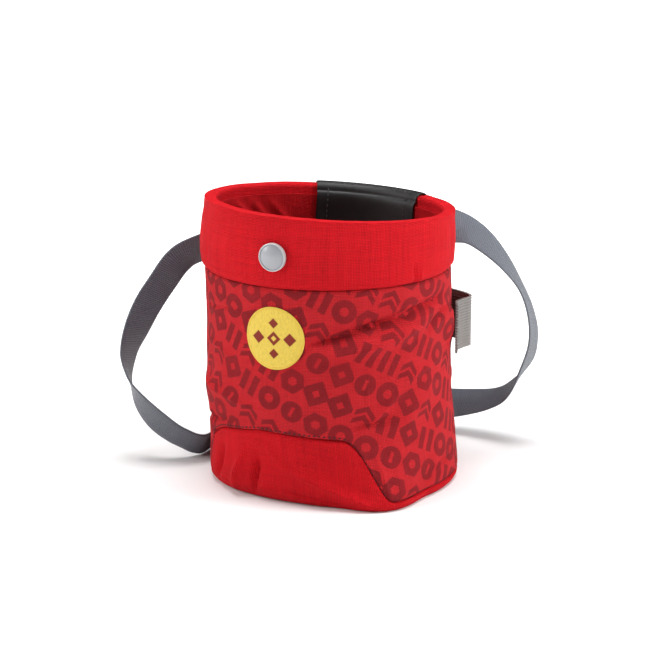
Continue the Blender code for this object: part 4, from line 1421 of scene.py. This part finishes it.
def make_patch_stitches(finish):
    """The patch's stitched rows: across the roll, down its inner sides, and round the belt tunnel."""
    bm = bmesh.new()
    for run in PATCH_RUNS:
        line = []
        for step in range(PATCH_RUN_STEPS + 1):
            part = step / PATCH_RUN_STEPS
            angle = patch_angle(run.start_share + (run.end_share - run.start_share) * part)
            line.append(patch_face(angle, run.start_along + (run.end_along - run.start_along) * part))
        side = -1.0 if run.start_along > PATCH_INNER_START else 1.0
        stitch_row(bm, line, PATCH_STITCH, PATCH_STITCH_SPACE, PATCH_THREAD, side)
    return add_piece("patch_stitches", bm, finish, "black_cloth")


BELT_ROUGH_STEPS = 400
BELT_ROW = 0.55 * MM
BELT_RIB = 1.10 * MM
BELT_RIB_RELIEF = 0.06 * MM
BELT_EDGE = 0.25 * MM
BELT_EDGE_SHARE = 0.72


def belt_place(angle, out, rise):
    """A point of the belt's middle line."""
    height = belt_height(rise)
    around = BODY_RADIUS + BODY_WALL + COLLAR_PROUD + COLLAR_BULGE
    around += (tunnel_seat(angle) - around) * ease(rise)
    return place(angle, height, around + TUNNEL_ROOM + 0.5 * BELT_THICKNESS + out * BELT_REACH)


def buckle_middle():
    """The middle of the buckle behind the bag."""
    return belt_place(BUCKLE_ANGLE, BUCKLE_OUT, 0.0)


def make_belt(finish):
    """The waist belt: one ribbed strap from one side of the buckle round to the other."""
    middle = buckle_middle()
    from_middle = (0.5 * BELT_TAIL_GAP, 0.5 * BUCKLE_LENGTH, 0.5 * BUCKLE_LENGTH + BELT_STRAIGHT)
    left_end = [middle - Vector((distance, 0.0, 0.0)) for distance in from_middle]
    right_end = [middle + Vector((distance, 0.0, 0.0)) for distance in reversed(from_middle)]
    upright = [Vector((0.0, 0.0, 1.0))] * len(from_middle)
    rows = BELT_LEFT + BELT_TUNNEL + BELT_RIGHT
    route = left_end + [belt_place(row.angle, row.out, row.rise) for row in rows] + right_end
    acrosses = upright + [Vector((row.x, row.y, row.z)) for row in rows] + upright
    rough_line = smooth_line(route, BELT_ROUGH_STEPS)
    rough_across = smooth_line(acrosses, BELT_ROUGH_STEPS)
    places = even_places(rough_line, BELT_ROW)
    line = at_places(rough_line, places)
    across = at_places(rough_across, places)

    def profile(index):
        rib = BELT_RIB_RELIEF * (1.0 if index % 2 else -1.0)
        half = 0.5 * BELT_WIDTH
        face = 0.5 * BELT_THICKNESS - BELT_RIB_RELIEF + rib
        upper = [(half * share, face) for share in (0.9, 0.6, 0.3, 0.0, -0.3, -0.6, -0.9)]
        lower = [(x, -y) for x, y in reversed(upper)]
        shoulder = (half - BELT_EDGE, BELT_EDGE_SHARE * face)
        edge = [shoulder, (half, 0.0), (shoulder[0], -shoulder[1])]
        return edge[2:] + edge[1:2] + edge[:1] + upper + [(-x, y) for x, y in edge] + lower

    bm = strap(line, across, profile)
    return add_piece("webbing_belt", bm, finish, "webbing", "belt", smooth_angle=75.0)


LOOP_ROW = 0.5 * MM
LOOP_RIB = 1.6 * MM
LOOP_RIB_RELIEF = 0.18 * MM
LOOP_FACE_SHARE = 0.985
RIB_STEPS = 4
LOOP_STEPS = 160

# Where each foot of the loop starts and ends, as steps along its line
LOOP_FEET = ((4, 16), (138, 152))
LOOP_STITCH = 1.7 * MM
LOOP_STITCH_SPACE = 0.6 * MM
LOOP_THREAD = 0.5 * MM


def loop_cloth(angle):
    """The furthest that the body cloth stands out behind the brush loop."""
    heights = [LOOP_HEIGHT + 0.5 * LOOP_WIDTH * share for share in (-1.0, -0.5, 0.0, 0.5, 1.0)]
    return max(shell_inside(angle, height) + BODY_WALL for height in heights)


def loop_line(steps):
    """The brush loop's middle line seen from above."""
    line = []
    for step in smooth_line([Vector((point.angle, point.out)) for point in LOOP], steps):
        out = max(step.y, 0.0) * LOOP_REACH + 2.0 * GAP + 0.5 * LOOP_THICKNESS
        line.append(place(step.x, LOOP_HEIGHT, loop_cloth(step.x) + out))
    return line


def make_brush_loop(finish):
    """The ribbed elastic tunnel on the side that holds a brush handle."""
    line = even_line(loop_line(LOOP_STEPS), LOOP_ROW)
    count = round(LOOP_WIDTH / LOOP_RIB)

    def profile(index):
        half = 0.5 * LOOP_WIDTH
        face = 0.5 * LOOP_THICKNESS - LOOP_RIB_RELIEF
        upper = []
        for step in range(RIB_STEPS * count + 1):
            share = 1.0 - 2.0 * step / (RIB_STEPS * count)
            rib = LOOP_RIB_RELIEF * math.cos(2.0 * math.pi * step / RIB_STEPS)
            upper.append((half * share * LOOP_FACE_SHARE, face + rib))
        return [(half, 0.0)] + upper + [(-half, 0.0)] + [(x, -y) for x, y in reversed(upper)]

    up = [Vector((0.0, 0.0, 1.0))] * len(line)
    bm = strap(line, up, profile)
    return add_piece("elastic_brush_loop", bm, finish, "elastic", "brush_loop", smooth_angle=75.0)


def make_loop_stitches(finish):
    """The dense stitches that hold both feet of the brush loop."""
    line = loop_line(LOOP_STEPS)
    bm = bmesh.new()
    for start, end in LOOP_FEET:
        for share in (0.15, 0.85):
            spot = line[round(start + (end - start) * share)]
            out = Vector((spot.x, spot.y, 0.0)).normalized()
            top = spot + out * 0.52 * LOOP_THICKNESS
            column = [top + Vector((0.0, 0.0, 0.46 * LOOP_WIDTH * part)) for part in (-1.0, 1.0)]
            stitch_row(bm, column, LOOP_STITCH, LOOP_STITCH_SPACE, LOOP_THREAD, 1.0)
    return add_piece("loop_stitches", bm, finish, "elastic")


def snap_frame():
    """The place of the snap on the collar, with Z pointing out of the cloth."""
    turn = math.radians(SNAP_ANGLE)
    outwards = Vector((math.sin(turn), -math.cos(turn), 0.0))
    seat = place(SNAP_ANGLE, SNAP_HEIGHT, collar_outside(SNAP_ANGLE, SNAP_HEIGHT) + COLLAR_BULGE)
    return Matrix.Translation(seat) @ outwards.to_track_quat("Z", "Y").to_matrix().to_4x4()


def turned_shape(profile, steps):
    """A closed round shape from its outline (radius, height), with the radius kept as its map."""
    bm = bmesh.new()
    verts = [bm.verts.new((radius, 0.0, height)) for radius, height in profile]
    edges = [bm.edges.new(pair) for pair in zip(verts, verts[1:])]
    bmesh.ops.spin(
        bm, geom=verts + edges, cent=(0.0, 0.0, 0.0), axis=(0.0, 0.0, 1.0), dvec=(0.0, 0.0, 0.0),
        angle=2.0 * math.pi, steps=steps, use_merge=True)
    bmesh.ops.remove_doubles(bm, verts=bm.verts, dist=MERGE)
    round_map = bm.loops.layers.uv.new("weave")
    for face in bm.faces:
        for loop in face.loops:
            loop[round_map].uv = (math.hypot(loop.vert.co.x, loop.vert.co.y), loop.vert.co.z)
    return bm


# The cap's outline as shares of SNAP_RADIUS and SNAP_DOME
SNAP_CAP_STEPS = 16
SNAP_CAP_SHARE = 0.86
SNAP_CAP_FALL = 0.50
SNAP_RIM_STEPS = 8
SNAP_RIM_MIDDLE = 0.90
SNAP_RIM_SHARE = 0.10
SNAP_RIM_HEIGHT = 0.44
SNAP_RIM_RISE = 0.16


def make_snap(finish):
    """The snap: a shallow dome in a rolled rim, its post through the cloth and its head inside."""
    through = collar_outside(SNAP_ANGLE, SNAP_HEIGHT) + COLLAR_BULGE - lining_inside(SNAP_ANGLE, SNAP_HEIGHT)
    inner_sag = SNAP_HEAD_RADIUS ** 2 / (2.0 * lining_inside(SNAP_ANGLE, SNAP_HEIGHT)) + 0.5 * GAP
    head_top = -(through + GAP + inner_sag)
    head_bottom = head_top - SNAP_HEAD_THICKNESS
    profile = []
    for step in range(SNAP_CAP_STEPS + 1):
        share = step / SNAP_CAP_STEPS
        radius = SNAP_CAP_SHARE * SNAP_RADIUS * share
        profile.append((radius, GAP + SNAP_EDGE + SNAP_DOME * (1.0 - SNAP_CAP_FALL * share ** 2)))
    rim_middle = SNAP_RIM_MIDDLE * SNAP_RADIUS
    rim_top = GAP + SNAP_EDGE + SNAP_RIM_HEIGHT * SNAP_DOME
    profile.append((0.872 * SNAP_RADIUS, rim_top + 0.02 * SNAP_DOME))
    for step in range(1, SNAP_RIM_STEPS + 1):
        turn = math.pi * (0.62 - 0.77 * step / SNAP_RIM_STEPS)
        across = rim_middle + SNAP_RIM_SHARE * SNAP_RADIUS * math.cos(turn)
        profile.append((across, rim_top + SNAP_RIM_RISE * SNAP_DOME * math.sin(turn)))
    profile += [
        (SNAP_RADIUS, GAP + 0.5 * SNAP_EDGE),
        (0.985 * SNAP_RADIUS, GAP + 0.15 * SNAP_EDGE),
        (0.95 * SNAP_RADIUS, GAP),
        (SNAP_POST_RADIUS, GAP),
        (SNAP_POST_RADIUS, head_top),
        (0.95 * SNAP_HEAD_RADIUS, head_top),
        (SNAP_HEAD_RADIUS, head_top - 0.3 * SNAP_HEAD_THICKNESS),
        (SNAP_HEAD_RADIUS, head_bottom + 0.3 * SNAP_HEAD_THICKNESS),
        (0.93 * SNAP_HEAD_RADIUS, head_bottom),
        (0.45 * SNAP_HEAD_RADIUS, head_bottom + 0.15 * SNAP_HEAD_THICKNESS),
        (0.0, head_bottom + 0.1 * SNAP_HEAD_THICKNESS),
    ]
    bm = turned_shape(profile, 64)
    bmesh.ops.transform(bm, matrix=snap_frame(), verts=bm.verts)
    return add_piece("snap_cap", bm, finish, "snap_enamel", "snap_button", smooth_angle=50.0)


BADGE_EDGE_TURNS = 150
BADGE_EDGE_THREAD = 0.58 * MM
BADGE_EDGE_SLANT = 1.1
BADGE_EDGE_INNER = 1.35 * MM
BADGE_EDGE_OUTER = 0.25 * MM
BADGE_CROWN_REACH = 2.2 * MM
BADGE_WELT = 0.12 * MM
BADGE_WELT_INSET = 0.7 * MM
BADGE_WELT_REACH = 0.9 * MM
BADGE_GRAIN = 0.05 * MM
BADGE_GRAIN_PITCH = 0.84 * MM
BADGE_FINE_RINGS = 40
BADGE_FINE_SIDES = 120


def badge_place(x, y, lift):
    """A point over the body cloth at a distance right of and above the badge's middle."""
    height = BADGE_HEIGHT + y
    cloth = shell_inside(BADGE_ANGLE, height) + BODY_WALL
    angle = BADGE_ANGLE + math.degrees(x / cloth)
    radius = shell_inside(angle, height) + BODY_WALL
    return place(angle, height, radius + 1.5 * GAP + lift)


def make_badge(finish):
    """The round embroidered patch: a stitched field inside a corded edge."""
    bm = bmesh.new()
    bmesh.ops.create_circle(bm, cap_ends=True, cap_tris=False, segments=BADGE_FINE_SIDES, radius=BADGE_RADIUS)
    for _ in range(BADGE_FINE_RINGS - 1):
        middle = [face for face in bm.faces if len(face.verts) == BADGE_FINE_SIDES]
        bmesh.ops.inset_individual(bm, faces=middle, thickness=BADGE_RADIUS / BADGE_FINE_RINGS)
    middle = [face for face in bm.faces if len(face.verts) == BADGE_FINE_SIDES]
    bmesh.ops.poke(bm, faces=middle)
    grown = bmesh.ops.extrude_face_region(bm, geom=bm.faces[:], use_keep_orig=True)
    tops = {part for part in grown["geom"] if isinstance(part, bmesh.types.BMVert)}
    stitch_map = bm.loops.layers.uv.new("weave")
    for face in bm.faces:
        for loop in face.loops:
            loop[stitch_map].uv = loop.vert.co.xy
    for vert in bm.verts:
        x, y = vert.co.xy
        away = math.hypot(x, y)
        lift = 0.0
        if vert in tops:
            crown = ease((BADGE_RADIUS - away) / BADGE_CROWN_REACH)
            edge = BADGE_WELT * hill(away - BADGE_RADIUS + BADGE_WELT_INSET, BADGE_WELT_REACH)
            grain = BADGE_GRAIN * math.sin(2.0 * math.pi * x / BADGE_GRAIN_PITCH) * crown
            lift = 0.12 * BADGE_THICKNESS + 0.26 * BADGE_THICKNESS * crown + edge + grain
        vert.co = badge_place(x, y, lift)
    return add_piece("badge_field", bm, finish, "badge_thread", "badge")


def make_badge_edge(finish):
    """The badge's edge: thread wound round it, a short slanting turn at a time."""
    bm = bmesh.new()
    turn = 2.0 * math.pi / BADGE_EDGE_TURNS

    def spot(step, inset, lift_share):
        radius = BADGE_RADIUS - inset
        x = radius * math.sin(turn * step)
        y = radius * math.cos(turn * step)
        return badge_place(x, y, lift_share * BADGE_THICKNESS)

    for step in range(BADGE_EDGE_TURNS):
        start = spot(step, BADGE_EDGE_INNER, 0.34)
        end = spot(step + BADGE_EDGE_SLANT, BADGE_EDGE_OUTER, 0.02)
        out = Vector((start.x, start.y, 0.0)).normalized()
        add_stitch(bm, start, end, out, BADGE_EDGE_THREAD)
    return add_piece("badge_edge", bm, finish, "badge_thread")


SEAM_STITCH = 1.6 * MM
SEAM_STITCH_SPACE = 1.1 * MM

# The stitched rows above the base's seam: start and turn in degrees, how many steps follow the seam,
# how high above it, and how long and thick a stitch is
SeamRun = namedtuple("SeamRun", "angle turn steps lift stitch thread")
SEAM_RUNS = (
    SeamRun(-76.0, 84.0, 300, 1.7 * MM, SEAM_STITCH, 1.0 * MM),
    SeamRun(8.4, 14.0, 120, 0.5 * MM, 0.8 * SEAM_STITCH, 0.7 * MM),
    SeamRun(24.0, 258.0, 500, 0.9 * MM, SEAM_STITCH, 0.5 * MM),
)


def make_seam_stitches(finish):
    """The dark stitches along the seam of the printed cloth and the base."""

    def spot(angle, lift):
        height = soft_seam_height(angle) + lift
        radius = shell_inside(angle, height) + BODY_WALL + body_wrinkle(angle, height)
        return place(angle, height, radius)

    bm = bmesh.new()
    for run in SEAM_RUNS:
        line = [spot(run.angle + run.turn * step / run.steps, run.lift) for step in range(run.steps + 1)]
        stitch_row(bm, line, run.stitch, SEAM_STITCH_SPACE, run.thread, 1.0)
    return add_piece("seam_stitches", bm, finish, "printed_cloth")


def make_buckle(finish):
    """Better plastic for the clasp, whose solid is already its shape."""
    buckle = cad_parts["buckle"]
    buckle.data.materials.clear()
    buckle.data.materials.append(finish)


# The studio

Softbox = namedtuple("Softbox", "name x y z width height power")
SOFTBOXES = (
    Softbox("left_softbox", -1.20, -0.25, 0.72, 0.7, 0.9, 13.5),
    Softbox("right_softbox", 1.20, -0.15, 0.70, 0.7, 0.9, 18.0),
    Softbox("top_softbox", 0.0, 0.0, 1.35, 0.9, 0.8, 22.0),
    Softbox("front_softbox", 0.35, -1.5, 0.30, 0.9, 0.7, 3.5),
)
LIGHT_TARGET = (0.0, 0.0, 0.07)
WHITE = (1.0, 1.0, 1.0, 1.0)
SKY_STRENGTH = 0.07

# The floor lies just under the bag and glows more and more away from it, so that it ends in plain white
FLOOR_SIZE = 8.0
FLOOR_DROP = 0.05 * MM
FLOOR_LIGHT = (0.82, 0.82, 0.82, 1.0)
FLOOR_DARK = (0.80, 0.80, 0.80, 1.0)
FLOOR_GLOW = 0.0
FLOOR_GLOW_FAR = 1.0
GLOW_STARTS = 0.12
GLOW_ENDS = 0.75

LENS_LENGTH = 107.4
SENSOR_WIDTH = 36.0
CAMERA_PLACE = (0.8 * MM, -1.064, 0.366)
CAMERA_TARGET = (0.8 * MM, 0.0, 80.0 * MM)


def look_at(thing, target):
    """Turns a light or the camera towards a point."""
    thing.rotation_euler = (Vector(target) - thing.location).to_track_quat("-Z", "Y").to_euler()


def make_floor():
    """A plain white floor that hides its own end."""
    bm = bmesh.new()
    bmesh.ops.create_grid(bm, x_segments=8, y_segments=8, size=FLOOR_SIZE)
    for vert in bm.verts:
        vert.co.z = -FLOOR_DROP
    mesh = bpy.data.meshes.new("studio_floor")
    bm.to_mesh(mesh)
    bm.free()
    finish = Finish("studio_floor", 0.9)
    finish.shader.inputs["Emission Color"].default_value = WHITE
    split = finish.nodes.new("ShaderNodeSeparateXYZ")
    finish.links.new(finish.object_place(), split.inputs["Vector"])
    away = finish.distance(split.outputs["X"], split.outputs["Y"])
    glow = finish.blend(finish.within(away, GLOW_STARTS, GLOW_ENDS), FLOOR_GLOW, FLOOR_GLOW_FAR)
    finish.put(finish.shader.inputs["Emission Strength"], glow)
    dust = finish.cloud(finish.object_place(), 3.0, 2.0)
    mesh.materials.append(finish.paint(finish.blend(dust, FLOOR_DARK, FLOOR_LIGHT)))
    floor = bpy.data.objects.new("studio_floor", mesh)
    bpy.context.scene.collection.objects.link(floor)
    floor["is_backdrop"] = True


def make_lights():
    """Softboxes at both sides, overhead and in front, and an even white surround."""
    for box in SOFTBOXES:
        lamp = bpy.data.lights.new(box.name, "AREA")
        lamp.shape = "RECTANGLE"
        lamp.size = box.width
        lamp.size_y = box.height
        lamp.energy = box.power
        light = bpy.data.objects.new(box.name, lamp)
        light.location = (box.x, box.y, box.z)
        look_at(light, LIGHT_TARGET)
        bpy.context.scene.collection.objects.link(light)
    world = bpy.data.worlds.new("white_surround")
    world.use_nodes = True
    surround = world.node_tree.nodes["Background"]
    surround.inputs["Color"].default_value = WHITE
    surround.inputs["Strength"].default_value = SKY_STRENGTH
    bpy.context.scene.world = world


def make_camera():
    """The photograph's view."""
    lens = bpy.data.cameras.new("camera")
    lens.lens = LENS_LENGTH
    lens.sensor_width = SENSOR_WIDTH
    camera = bpy.data.objects.new("camera", lens)
    camera.location = CAMERA_PLACE
    look_at(camera, CAMERA_TARGET)
    bpy.context.scene.collection.objects.link(camera)
    bpy.context.scene.camera = camera
    bpy.context.scene.view_settings.view_transform = "Standard"


def dress():
    """Makes every piece of the bag and the studio round it."""
    make_camera()
    make_lights()
    make_floor()

    plain = plain_cloth("plain_red_cloth", PLAIN_RED, PLAIN_SHADE)
    make_printed_body(printed_cloth("printed_red_cloth"))
    make_base(plain)
    make_collar(plain)
    make_lining(plain_cloth("lining_red_cloth_in_shade", LINING_RED_IN_SHADE, LINING_SHADE, FINE_RIPSTOP))
    make_rear_patch(coated_cloth("black_coated_cloth"))
    make_patch_stitches(thread("black_thread", THREAD_BLACK, 0.5))
    make_belt(ribbed_webbing("grey_webbing", STRAP_GREY, BELT_RIB, STRAP_SHADE))
    make_buckle(moulded_plastic("moulded_plastic"))
    make_brush_loop(ribbed_webbing("light_elastic", ELASTIC_GREY, LOOP_RIB, ELASTIC_SHADE, along=False))
    make_loop_stitches(thread("grey_thread", ELASTIC_GREY))
    make_snap(snap_enamel("grey_enamel"))
    make_badge(embroidery("badge_embroidery"))
    make_badge_edge(thread("yellow_thread", BADGE_EDGE_IN_SHADE))
    make_seam_stitches(thread("dark_red_thread", THREAD_RED))


dress()

boxes = {"cad": CAD_BOUNDS, "visual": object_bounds()}
{name: [list(corner) for corner in box] for name, box in boxes.items()}
